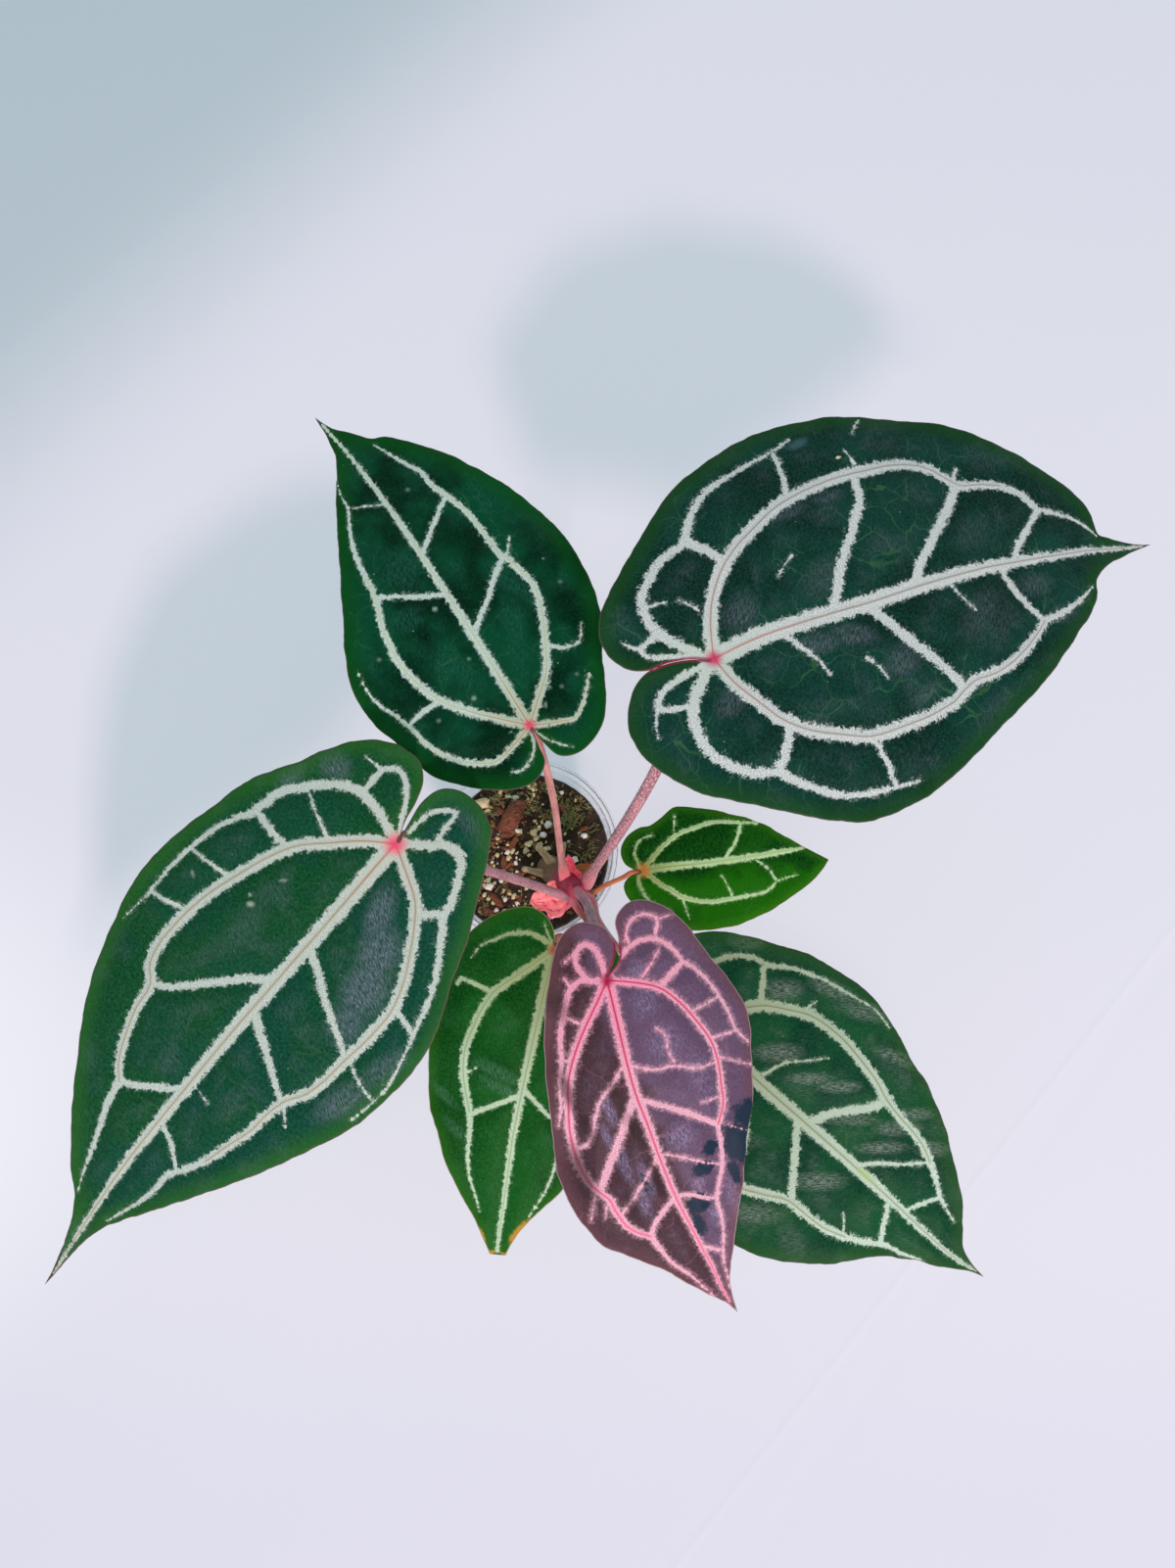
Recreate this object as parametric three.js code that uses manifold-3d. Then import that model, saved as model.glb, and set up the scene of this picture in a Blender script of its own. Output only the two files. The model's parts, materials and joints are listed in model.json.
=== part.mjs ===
// A young velvet-leaved anthurium hybrid in a small clear nursery pot.
// Millimetres, +Z up. The origin is the middle of the pot's underside.
// Each leaf is drawn flat, with its junction at (0, 0), its tip up +Y and its upper face towards +Z,
// then bent by one formula and set on the end of its petiole.
import * as THREE from "three";
import { mergeVertices } from "three/addons/utils/BufferGeometryUtils.js";
import Module from "manifold-3d";

const { cos, sin, sqrt, exp, hypot, max, min, PI } = Math;

// Pot: a 4 inch nursery pot.
const POT_HEIGHT = 95;
const POT_BASE_RADIUS = 38;
const POT_SHOULDER_RADIUS = 50;
const POT_SHOULDER_HEIGHT = 87;
const POT_RIM_RADIUS = 53;
const POT_WALL = 1.1;
const POT_FLOOR = 1.4;
const POT_SIDES = 44;
const DRAIN_HOLES = 6;
const DRAIN_RADIUS = 3.5;
const DRAIN_CIRCLE = 27;

// Potting mix: it fills the pot to 12 mm below the rim.
const SOIL_HEIGHT = 83;
const SOIL_CRUMB = 1.6;
const SOIL_RINGS = 8;
const SOIL_SIDES = 32;
const SOIL_FIT = 0.8;
const CHIP_COUNT = 18;
const CHIP_SIZES = [1.8, 3.4];
const CHIP_SPREAD = 43;

// Clearance between neighbours, and the thickness of thin sheets.
const GAP = 0.3;
const BLADE_THICKNESS = 0.9;
const BRACT_THICKNESS = 0.8;

// Blade detail: spacing of the points that its faces are drawn through.
const MARGIN_STEP = 8;
const VEIN_STEP = 11;
const PANEL_STEP = 15;
const CLOSEST = 2.4;
const MAIN_VEIN_WIDTH = 2.3;
const PANEL_RISE = 1.5;
const PANEL_REACH = 5;

// Petioles and stem.
const PETIOLE_SIDES = 8;
const PETIOLE_STEP = 11;
const FOOT_SWELLING = 0.3;
const KNEE_SWELLING = 0.16;
const STEM_SIDES = 12;
const STEM_RINGS = 12;
const STEM_PATH = [[10, -5, 70], [14, -10, 84], [22, -18, 101], [29, -25, 117]];
const STEM_RADIUS = 8;
const STEM_SCAR = 0.35;

const vein = (from, to, ...points) => ({ from, to, points });

// Every leaf: where its junction lies and how it is turned, how it is bent, its margin on each side
// of the midrib, its veins with their widths at both ends, and its petiole from the stem upwards.
const LEAVES = [
  {
    name: "upper_left",
    color: 0x13512a,
    junction: [5.8, 51.4, 190],
    heading: -34.1,
    pitch: -5.9,
    roll: 2,
    bend: {
      length: 214, width: 62, arch: 9, vee: 0.08, curl: [0.16, 0.16],
      wave: 1.8, step: 62, phase: 0.6,
    },
    right: [[0, 214], [5, 201], [13, 188], [17, 183], [25, 178], [40, 160], [47, 149], [56, 130], [66, 110],
      [70, 92], [71.5, 68], [68, 42], [60, 24], [51, 10], [40, -9], [30, -20], [14, -25], [4, -21], [1, -12],
      [0, -2]],
    left: [[0, -2], [-2, -12], [-4, -20], [-13, -25], [-24, -23], [-35, -16], [-46, -5], [-55, 7], [-60, 27],
      [-65, 50], [-64, 66], [-59, 79], [-48, 100], [-38, 119], [-26, 142], [-15, 163], [-5, 181], [-1, 198],
      [0, 214]],
    veins: [
      vein(5.5, 1.5, [0, 0], [1.5, 40], [3, 90], [4, 140], [3, 180], [1, 208]),
      vein(5, 3, [0, 0], [-12, 12], [-22, 23], [-30, 34], [-35, 48], [-37, 62], [-35, 80], [-29, 98],
        [-27, 112]),
      vein(3, 0.6, [-27, 112], [-25, 125], [-20, 140], [-14, 152], [-13, 162], [-10, 172]),
      vein(3.5, 2, [0, 0], [-15, -5], [-24, -6], [-33, -1], [-42, 8], [-48, 20], [-50, 31], [-53, 42]),
      vein(2, 0.6, [-53, 42], [-57, 52], [-58, 62], [-57, 71]),
      vein(2.6, 2.6, [-33, 35], [-40, 35], [-48, 34]),
      vein(2, 1.4, [0, -1], [-4, -10], [-9, -15], [-16, -17], [-21, -15]),
      vein(2.6, 2.6, [2, 81], [-8, 86], [-20, 94], [-28, 99]),
      vein(0.9, 0.7, [3, 143], [-6, 147], [-12, 150]),
      vein(4.5, 3.5, [0, 0], [10, 8], [22, 18], [29, 29], [35, 40], [40, 51], [42.5, 62], [41, 71], [39, 81]),
      vein(3.5, 3, [37, 82], [37, 100], [36, 115], [32, 129], [29, 138]),
      vein(3, 0.9, [29, 138], [29, 148], [25, 158], [21, 168], [17, 178]),
      vein(3.5, 1.4, [0, 0], [8, -4], [15, -7], [21, -9], [30, -4], [40, 6]),
      vein(2.4, 0.7, [31, 29], [37, 24], [45, 23], [52, 31]),
      vein(2.8, 2.8, [2, 53], [8, 59], [18, 66], [28, 75], [38, 82]),
      vein(2.2, 2.4, [4, 106], [12, 113], [22, 121], [30, 127]),
      vein(1.6, 0.5, [40, 82], [47, 90]),
      vein(1.6, 0.6, [0, -1], [3, -10], [9, -18], [12, -21]),
    ],
    petiole: {
      radius: 2.1, wing: 1.4,
      points: [[23, -20, 107], [20.5, -8, 126], [17.5, 16, 158], [13, 35, 178]],
    },
  },
  {
    name: "upper_right",
    color: 0x12382f,
    junction: [93.6, 72.7, 236],
    heading: 72.7,
    pitch: -8.8,
    roll: -2,
    bend: {
      length: 236, width: 92, arch: 13, vee: 0.1, curl: [0.17, 0.17],
      wave: 2.2, step: 74, phase: 0.2,
    },
    right: [[0, 240], [1.5, 230], [4, 218], [7, 206], [12, 198], [20, 194], [27, 187], [42, 166], [56, 145],
      [69, 120], [83, 92], [91, 72], [93.5, 49], [91, 34], [85, 20], [71, -4], [56, -28], [45, -38],
      [33, -45], [21, -47], [10, -44], [1, -38], [-3.6, -31], [-4.6, -21], [-3, -10], [0, -2]],
    left: [[0, -2], [-4.4, -10], [-6.4, -21], [-7, -33], [-9.5, -40], [-18, -46], [-28, -46.5], [-37, -43],
      [-47, -35], [-64, -18], [-78, -3], [-87, 8], [-97, 30], [-105, 50], [-107.5, 66], [-104, 87],
      [-99, 116], [-88, 146], [-71, 169], [-53, 189], [-34, 204.5], [-22, 209.5], [-10, 210.5], [-7, 216],
      [-3, 226], [0, 240]],
    veins: [
      vein(9.5, 6.5, [0, 0], [-3, 20], [-4, 50], [-4, 80], [-5.5, 110], [-6, 140]),
      vein(6.5, 1.4, [-6, 140], [-5, 160], [-4, 180], [-3, 200], [-1, 220], [0, 235]),
      vein(6.5, 6.5, [0, 0], [-14, 3], [-27, 8], [-40, 17], [-48, 26], [-56, 39], [-63, 52], [-67, 66],
        [-69, 82], [-69, 100]),
      vein(6.5, 4.5, [-69, 100], [-69, 116], [-66, 128], [-62, 134], [-55, 140], [-50, 145], [-48, 155],
        [-45, 165]),
      vein(4.5, 1, [-45, 165], [-38, 175], [-30, 180], [-27, 186], [-23, 195], [-18, 202], [-10, 209]),
      vein(4.6, 4.6, [-46, 18], [-52, 13], [-58, 7]),
      vein(5, 3.6, [0, -2], [-10, -12], [-20, -20], [-28, -23], [-38, -22], [-48, -15], [-55, -6], [-59, 5],
        [-66, 9]),
      vein(3.6, 1.4, [-66, 9], [-75, 16], [-82, 26], [-86, 36], [-91, 50], [-94, 62], [-98, 74]),
      vein(3, 2.4, [-67, 60], [-80, 63], [-93, 64]),
      vein(3, 1, [-19, -22], [-16, -31], [-21, -37]),
      vein(2.4, 2.4, [-16, -31], [-10, -27], [-7.5, -18], [-3, -6]),
      vein(2, 1, [-34, -21], [-33, -12]),
      vein(2, 1.2, [-24, 1], [-32, -7]),
      vein(4.5, 4, [-6, 60], [-14, 65], [-25, 71], [-36, 79], [-47, 87], [-55, 92], [-66, 94]),
      vein(4.2, 4.6, [-6, 102], [-14, 107], [-25, 118], [-38, 132], [-49, 142]),
      vein(2.4, 0.7, [-54, 143], [-60, 148]),
      vein(3.4, 3, [-5, 156], [-12, 161], [-20, 170], [-29, 181]),
      vein(1.2, 0.6, [-36, 50], [-32, 44], [-28, 40]),
      vein(1.4, 0.5, [-98, 110], [-90, 102]),
      vein(2.2, 0.6, [-71, 98], [-82, 95]),
      vein(6.5, 6, [0, 0], [14, 5], [26, 12], [38, 20], [46, 30], [52, 43], [57, 57], [57, 72], [56, 86],
        [53, 99]),
      vein(6, 4, [53, 99], [49, 106], [46, 113], [45, 125], [42, 135], [37, 145], [31, 154], [27, 159]),
      vein(4, 1.2, [27, 159], [25, 171], [21, 183], [16, 193]),
      vein(4.2, 4.2, [39, 22], [48, 19], [55, 14], [60, 10]),
      vein(5.5, 4, [0, 0], [8, -8], [17, -15], [28, -18], [40, -16], [50, -9], [57, 0], [60, 10], [66, 16]),
      vein(4, 1.4, [66, 16], [72, 24], [78, 34], [81, 46], [82, 58], [83, 72]),
      vein(2.6, 2.2, [57, 57], [70, 60], [82, 61]),
      vein(3.6, 2.4, [1, -3], [4, -18], [8, -27], [14, -31], [17, -25], [18, -17]),
      vein(2, 0.7, [14, -31], [20, -34], [28, -36]),
      vein(5, 4.5, [-2, 77], [8, 83], [20, 90], [32, 98], [47, 106]),
      vein(3.2, 2.8, [-4, 148], [8, 150], [18, 154], [28, 159]),
      vein(2.4, 1.4, [0, 34], [8, 40], [16, 45], [24, 48]),
      vein(1.6, 0.6, [22, 66], [28, 70], [34, 72]),
      vein(1.2, 0.5, [-3, 119], [6, 122], [14, 126]),
    ],
    petiole: {
      radius: 3.2, wing: 0.5,
      points: [[33.5, -21.5, 110], [39, -14, 130], [55, 6, 172], [70, 30, 204]],
    },
  },
  {
    name: "left",
    color: 0x1c4a33,
    junction: [-56.7, -10.6, 208],
    heading: -140.3,
    pitch: -11.6,
    roll: 3,
    bend: { length: 278, width: 92, arch: 17, vee: 0.1, curl: [0.17, 0.17], wave: 2, step: 80, phase: 1.9 },
    right: [[0, 280], [2, 267], [4.5, 254], [8, 241], [12.5, 232], [22, 221], [39, 198], [57, 170], [73, 142],
      [83, 118], [88, 96], [88, 78], [86, 61], [83, 45], [78, 25], [71, 12], [63, 0], [58, -11], [51, -22],
      [41, -32], [29, -36.5], [19, -37], [10.5, -31], [6.5, -22], [4, -11], [0, -2]],
    left: [[0, -2], [2, -11], [4, -23], [1.5, -33], [-6, -38], [-19, -39], [-29, -35], [-36, -27], [-43, -15],
      [-49, -3], [-56, 10], [-62, 26], [-70, 43], [-75, 59], [-76.5, 76], [-75, 93], [-72, 109], [-66, 124],
      [-56, 146], [-37, 181], [-18, 213], [-9, 229], [-5, 241], [-2, 258], [0, 280]],
    veins: [
      vein(9, 6.5, [0, 0], [-0.5, 40], [0, 80], [1, 120], [1.5, 150]),
      vein(6.5, 1.2, [1.5, 150], [2.5, 200], [1.5, 235], [0, 272]),
      vein(6, 5.5, [0, 0], [-14, 7], [-26, 14], [-33, 22], [-41, 34], [-47, 45], [-51, 58], [-51, 74],
        [-49, 90], [-48, 102]),
      vein(5.5, 4, [-48, 102], [-45, 113], [-40, 121], [-37, 132], [-36, 142], [-32, 155], [-28, 169]),
      vein(4, 0.9, [-28, 169], [-22, 180], [-18, 186], [-16, 202], [-11, 217], [-7, 228]),
      vein(4.2, 4.2, [-29, 18], [-34, 15], [-40, 10]),
      vein(4.5, 3.6, [0, -1], [-11, -8], [-20, -15], [-28, -15], [-34, -7], [-39, 3], [-41, 11], [-46, 18]),
      vein(3.6, 2, [-46, 18], [-55, 31], [-61, 43], [-65, 57]),
      vein(2, 0.7, [-65, 57], [-69, 71], [-72, 86], [-71, 98], [-69, 108]),
      vein(2.8, 2, [-14, -14], [-13, -22], [-12, -29], [-6, -26], [-2, -19], [-1, -8]),
      vein(3, 2.2, [-52, 57], [-58, 58], [-65, 60]),
      vein(4.5, 3.4, [-3, 62], [-14, 68], [-26, 76], [-38, 82], [-48, 88]),
      vein(3.6, 4, [-2, 101], [-10, 106], [-22, 113], [-38, 123]),
      vein(1.6, 0.6, [-40, 123], [-48, 130]),
      vein(2.6, 2.4, [1, 171], [-8, 174], [-20, 183]),
      vein(1.6, 1, [-50, 88], [-60, 92], [-70, 95]),
      vein(1, 0.6, [0, 146], [-12, 147]),
      vein(6, 6.5, [0, 0], [12, 8], [24, 19], [36, 31], [43, 44], [48, 58], [53, 74], [56, 90], [57, 106]),
      vein(6.5, 4, [57, 106], [54, 118], [47, 125], [45, 138], [41, 150], [35, 163], [29, 170]),
      vein(4, 0.9, [29, 170], [28, 180], [24, 193], [20, 205], [17, 217], [13.5, 228]),
      vein(3.6, 3.6, [38, 34], [46, 34], [54, 33], [63, 31]),
      vein(4.2, 4.6, [0, 0], [12, -5], [24, -7.5], [34, -7], [44, -1], [54, 9], [61, 18], [63, 28], [65, 34]),
      vein(3, 1.6, [65, 34], [71, 44], [75, 57], [77, 71], [78, 85], [78, 96]),
      vein(1, 0.6, [78, 96], [80, 112]),
      vein(2, 1.8, [57, 87], [66, 90], [77, 93]),
      vein(1.8, 1.6, [51, 62], [62, 63], [75, 65]),
      vein(1.4, 1.2, [26, 19], [36, 14], [49, 8]),
      vein(2.2, 3, [2, -5], [7, -12], [10, -18], [17, -25], [24, -27], [29, -23], [29, -9]),
      vein(2, 0.6, [30, -22], [40, -22]),
      vein(4.4, 4, [2, 84], [12, 92], [24, 104], [36, 117], [47, 125]),
      vein(3.2, 3, [2, 151], [10, 157], [18, 163], [29, 170]),
    ],
    petiole: {
      radius: 2.7, wing: 0.7,
      points: [[23, -28, 110], [14, -26, 130], [-16, -19, 166], [-42, -14, 194]],
    },
  },
  {
    name: "right_small",
    color: 0x1e6a12,
    junction: [65.3, -14.7, 124],
    heading: 86.7,
    pitch: -5.5,
    roll: -3,
    bend: {
      length: 103.5, width: 32, arch: 5, vee: 0.1, curl: [0.14, 0.14],
      wave: 1.2, step: 38, phase: 0.9,
    },
    right: [[-1, 104], [4, 100], [12, 91], [20, 78], [26, 67], [31, 55], [34, 42], [34.5, 28], [32, 14],
      [26, 2], [19, -6], [12, -10.5], [7, -11], [3, -8], [0.6, -2]],
    left: [[0.6, -2], [-1.4, -6], [-4, -9.5], [-9, -11.5], [-14, -11], [-20, -7], [-24, 0], [-24.5, 5],
      [-28, 11], [-34, 19], [-34, 27], [-32, 38], [-28, 51], [-23, 66], [-15, 79], [-8, 91], [-1, 104]],
    veins: [
      vein(4.6, 3, [0, 0], [-1, 15], [-1.5, 30], [-2.5, 45], [-4, 60], [-6, 75]),
      vein(3, 1.4, [-6, 75], [-8, 90]),
      vein(2.8, 1.8, [0, 0], [-6, 5], [-12, 11], [-18, 19], [-22, 30], [-24.5, 42], [-23.5, 52], [-23, 64]),
      vein(1.8, 1.8, [-4, 45], [-8, 48], [-14, 52], [-22, 55]),
      vein(2.8, 2.2, [0, 0], [6, 6], [12, 14], [17, 22], [19.5, 35], [18.5, 46]),
      vein(2.2, 0.6, [18.5, 46], [17, 58], [15, 67], [10, 73], [8, 80], [7, 85]),
      vein(1.2, 1.2, [-2, 62], [2, 67], [9, 72]),
      vein(1.4, 0.6, [18, 47], [12, 45], [6, 42]),
      vein(2, 0.8, [0, -1], [-5, -3], [-10, -4], [-15, -2], [-18, 1], [-19, 6]),
      vein(2.2, 1, [0, -1], [5, -3], [9, -2], [14, 0], [20, 6], [23, 13]),
      vein(1.1, 0.5, [17, 20], [22, 21], [28, 23]),
      vein(0.9, 0.5, [-21, 18], [-29, 19]),
    ],
    petiole: {
      radius: 1.5, wing: 0.6,
      points: [[26, -20.5, 98], [35, -25.5, 101], [45, -21.5, 111], [55, -17.5, 117]],
    },
  },
  {
    name: "lower_middle",
    color: 0x1e5c1c,
    junction: [17.5, -58.5, 148],
    heading: -169.6,
    pitch: -11.3,
    roll: 2,
    bend: {
      length: 163, width: 44, arch: 7, vee: 0.08, curl: [0.16, 0.16],
      wave: 1.4, step: 50, phase: 0.3,
    },
    right: [[5, 163], [9, 156], [17, 144], [28, 130], [36, 119], [42, 106], [50, 91], [54, 72], [55.5, 52],
      [55, 32], [52, 12], [46, 0], [38, -9], [28, -16], [17, -19.5], [8, -17], [2.5, -11], [0, -3]],
    left: [[0, -3], [-3, -8], [-8, -13], [-16, -15], [-25, -12], [-34, -3], [-39, 9], [-41, 24], [-42, 42],
      [-41, 60], [-38, 78], [-34, 97], [-27, 119], [-20, 130], [-12, 141], [-6, 153], [-3, 163]],
    veins: [
      vein(6.2, 3.6, [0, 0], [1, 20], [2, 45], [3, 75], [3.5, 100]),
      vein(3.6, 1.8, [3.5, 100], [2.5, 125], [2, 150], [1.5, 161]),
      vein(4.5, 4, [0, 0], [8, 8], [17, 17], [26, 26], [31, 36], [34, 47], [36, 58], [35, 70], [32, 80],
        [28, 90]),
      vein(3, 0.7, [28, 90], [26, 100], [25, 112], [22, 124], [18, 132], [14, 141]),
      vein(2.4, 1.8, [29, 27], [38, 25], [45, 24], [47, 27]),
      vein(2.8, 2.4, [3, 76], [10, 80], [18, 85], [27, 91]),
      vein(1.6, 0.5, [34, 71], [29, 67]),
      vein(3.2, 1.4, [0, -1], [6, -4], [14, -6], [24, -4], [32, 1]),
      vein(1.4, 0.6, [32, 1], [38, 5], [42, 12]),
      vein(1.6, 0.6, [1, -2], [5, -8], [8, -13]),
      vein(2.4, 1.8, [2, 73], [-5, 78], [-14, 84], [-24, 87]),
      vein(4.5, 3, [0, 0], [-8, 9], [-16, 18], [-23, 29], [-28, 42], [-29, 58], [-28, 72], [-25, 87]),
      vein(2.2, 0.7, [-25, 87], [-21, 104], [-20, 114], [-18, 123], [-12, 138]),
      vein(2.6, 0.8, [0, -1], [-7, -5], [-16, -5], [-25, 0], [-30, 8]),
      vein(2, 1, [-24, 30], [-31, 29], [-35, 35]),
    ],
    petiole: {
      radius: 1.8, wing: 0.5,
      points: [[24, -24.5, 102], [29.5, -34.5, 107], [34.5, -43, 121], [30, -53, 137]],
    },
  },
  {
    name: "new_purple",
    color: 0x6b4450,
    junction: [44.3, -74.4, 184],
    heading: 158.1,
    pitch: -17.5,
    roll: -5,
    bend: {
      length: 186.5, width: 58, arch: 11, vee: 0.1, curl: [0.2, 0.34],
      wave: 1.6, step: 55, phase: 2.6,
    },
    right: [[0, 187.5], [4, 179], [11, 170], [19, 158], [27, 146], [35, 138], [44, 130], [50, 124], [54, 114],
      [57, 103], [58, 92], [57.5, 82], [55, 70], [52, 58], [49.5, 47], [45, 32], [40.5, 19], [36, 8],
      [31.5, -2], [26, -11], [21, -19], [15.5, -25.5], [9, -29.5], [2.5, -30.5], [-4, -28], [-9, -23],
      [-10.6, -16], [-7.6, -8], [-1, -2]],
    left: [[-1, -2], [-9.4, -7], [-12.8, -16], [-14.5, -24], [-18.5, -28], [-24, -30], [-30.5, -29],
      [-38, -24], [-43.5, -17], [-47, -10], [-49.5, -1], [-52.5, 10], [-55.5, 20], [-58.5, 31], [-59.3, 41],
      [-57.5, 52], [-53, 63], [-48.5, 75], [-43, 86], [-36, 96], [-31, 107], [-26, 118], [-19, 130],
      [-13.5, 141], [-9, 150], [-4.5, 160], [-1.5, 170], [0, 187.5]],
    veins: [
      vein(7, 4, [0, 0], [3.5, 21], [6.5, 39], [8.3, 55], [8.5, 71], [9, 88], [9, 104]),
      vein(4, 1.6, [9, 104], [8.3, 117], [6.7, 131], [5.5, 144], [4.2, 154], [3.4, 168], [1.8, 180]),
      vein(5, 4.6, [0, 0], [-10, 5], [-22, 13], [-29, 24], [-33, 35], [-36, 47], [-35.5, 58], [-33, 68],
        [-30, 78], [-24, 86]),
      vein(3.6, 2.4, [-24, 86], [-21.5, 97], [-19, 105], [-13.5, 115], [-10, 122], [-9, 133]),
      vein(2.4, 0.8, [-9, 133], [-6.3, 142], [-3, 152], [-2, 160], [-0.5, 172]),
      vein(4.2, 4, [-25, 12], [-38, 7]),
      vein(3.6, 2.6, [0, 0], [-5, -4], [-14, -9.5], [-23, -11], [-31, -8], [-36, -1], [-38.5, 7]),
      vein(2.8, 1.6, [-38.5, 7], [-43.5, 14], [-47.5, 25], [-49.5, 37], [-50, 47], [-54, 57]),
      vein(1.6, 1.4, [-33, 30], [-41, 29.5], [-48, 29]),
      vein(1.5, 1.3, [-35.5, 46], [-43, 47], [-50, 48]),
      vein(1, 0.6, [-36, 55], [-44, 62], [-52, 68]),
      vein(1.6, 1.4, [-16.8, 5], [-30, -4]),
      vein(2.4, 1.6, [-31, -11], [-34.5, -17.5], [-29, -22], [-21.6, -21.6], [-17.5, -17], [-16.8, -11]),
      vein(1.2, 0.6, [-34.5, -17], [-44, -16]),
      vein(1.4, 1, [-17, -17], [-13.5, -10]),
      vein(1.8, 1.6, [4.2, 42.5], [-5.5, 48], [-13.5, 49.5], [-23, 55], [-34, 58]),
      vein(1.1, 0.8, [-15, 48.7], [-14.3, 41], [-16, 35], [-12.7, 29]),
      vein(3.6, 3.6, [7.5, 58.4], [-0.6, 65], [-12, 74.6], [-20, 82.6], [-24, 86.5]),
      vein(1, 0.5, [-30, 74], [-20, 72]),
      vein(1.6, 1.6, [7.5, 88], [0, 92.3], [-8.7, 99], [-17, 105]),
      vein(2.2, 2.2, [8, 111], [0, 114], [-6, 119], [-10, 121]),
      vein(2.2, 1.8, [5.5, 142], [-2, 148]),
      vein(0.9, 0.5, [-28, 88], [-37, 96]),
      vein(5, 4.6, [0, 0], [9, 8], [17, 15], [25, 23], [31.5, 31], [36.5, 39], [40.6, 50], [43.8, 60],
        [45.5, 70]),
      vein(4.6, 4, [45.5, 70], [46, 79], [45, 88], [42, 95], [39, 100], [38, 108], [35.7, 117], [31, 123],
        [27, 126]),
      vein(2.8, 0.9, [27, 126], [25, 134], [22, 144], [18, 151], [14.7, 157], [11.5, 165], [7.5, 174]),
      vein(1.7, 1.6, [10, 41], [17, 46], [25, 51], [31.7, 60], [35, 66], [39, 70], [45, 72]),
      vein(3.6, 3.6, [9.5, 56.5], [15.5, 63], [23.6, 73], [31.7, 82.6], [41, 94]),
      vein(1.5, 1.4, [10, 89], [17, 94], [27, 102], [36.5, 110]),
      vein(2.4, 2.6, [9, 111], [17, 116], [23, 120.6], [27, 126]),
      vein(1, 0.6, [39.8, 100], [44, 109]),
      vein(1, 0.6, [44.6, 96], [51, 108]),
      vein(3.2, 2.4, [0, 0], [6, -2], [12.3, -5], [19, -2], [25, 6], [31, 16], [35, 28]),
      vein(2.4, 1.2, [35, 28], [40, 37.5], [44, 49], [48, 57]),
      vein(1.6, 1.6, [19.6, 15], [25, 9]),
      vein(2, 2, [31.5, 29], [36, 27.5]),
      vein(3, 2.6, [0, -3], [-1, -11], [0, -17], [4, -19.5], [9, -17.5], [11, -11], [9, -5]),
      vein(1.6, 0.7, [9, -18], [16, -15.5]),
      vein(1.4, 0.7, [18, -4], [19, -9]),
    ],
    petiole: { radius: 3.1, wing: 0.4, points: [[28.5, -24, 115.5], [35, -35, 140], [38, -49, 160]] },
  },
  {
    name: "lower_right",
    color: 0x17452a,
    junction: [81, -82, 138],
    heading: 131.9,
    pitch: -7,
    roll: 2,
    bend: {
      length: 217, width: 62, arch: 8, vee: 0.08, curl: [0.15, 0.15],
      wave: 1.8, step: 64, phase: 1.2,
    },
    right: [[0, 219], [3, 211], [8, 202], [14, 191], [20, 180], [27, 169], [38, 159], [48, 151], [58, 139],
      [68, 124], [74, 111], [76, 96], [74, 78], [70, 58], [64, 38], [56, 18], [46, 2], [35, -11], [24, -18],
      [14, -20], [6, -15], [2, -3]],
    left: [[2, -3], [-2, -16], [-11, -21], [-22, -19.5], [-31, -14], [-38, -8], [-47, 4], [-53, 16],
      [-58, 26], [-63.5, 38], [-66.5, 50], [-69.6, 70], [-68.7, 82], [-65.6, 94], [-61.6, 106], [-58, 116],
      [-55.6, 127], [-50, 138], [-44.6, 149], [-37, 160], [-29, 172], [-20, 184], [-12, 192], [-5, 198],
      [-2.5, 203], [-0.7, 211], [0, 219]],
    veins: [
      vein(8, 6.5, [2, 0], [3, 30], [4, 60], [3.5, 90], [3, 120]),
      vein(6.5, 1.4, [3, 120], [3, 150], [3.5, 180], [3, 200], [0.5, 214]),
      vein(6, 6, [2, 2], [-8, 16], [-18, 29], [-27, 37], [-34, 48], [-40, 60], [-42, 78], [-40, 95]),
      vein(6, 4, [-40, 95], [-37.5, 107], [-34, 117], [-32, 127], [-31, 137], [-29, 147], [-25, 156]),
      vein(3.4, 0.8, [-25, 156], [-20, 165], [-15.6, 172], [-13, 179], [-10.5, 187]),
      vein(3.4, 3, [-27, 35], [-36, 29], [-43, 24]),
      vein(3.6, 2.2, [2, 0], [-8, -5], [-18, -3], [-28, 4], [-36, 9], [-42, 17], [-45, 26], [-50, 33]),
      vein(2.2, 0.8, [-50, 33], [-56, 45], [-60, 58], [-63, 72], [-65, 82], [-63, 94]),
      vein(4.6, 4, [2, 94], [-8, 99], [-18, 107], [-28, 115], [-35, 118]),
      vein(2.2, 1.6, [2, 128], [-6, 134], [-14, 144], [-24, 155]),
      vein(2.4, 2, [3, 162], [-6, 167], [-15, 172]),
      vein(1.7, 0.6, [0, 60], [-12, 64], [-22, 73], [-30, 80]),
      vein(1.5, 0.5, [-41, 55], [-48, 57]),
      vein(6, 5.5, [2, 2], [13, 12], [25, 24], [36, 40], [44, 58], [50, 76], [50, 92]),
      vein(5.5, 4.4, [50, 92], [44, 103], [39, 112], [38, 125], [37, 135], [33, 147]),
      vein(4, 0.9, [33, 147], [28, 157], [23, 165], [20, 175], [15, 188]),
      vein(3.8, 3.6, [6, 89], [16, 97], [28, 106], [39, 114]),
      vein(2.6, 2.4, [4, 152], [14, 158], [24, 164]),
      vein(3.2, 3, [5, 54], [18, 65], [34, 77], [50, 83]),
      vein(3.4, 1.2, [2, 0], [14, -6], [26, -5], [37, 3], [47, 18], [54, 38], [58, 58]),
      vein(1.4, 0.5, [31, 144], [24, 137]),
    ],
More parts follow.
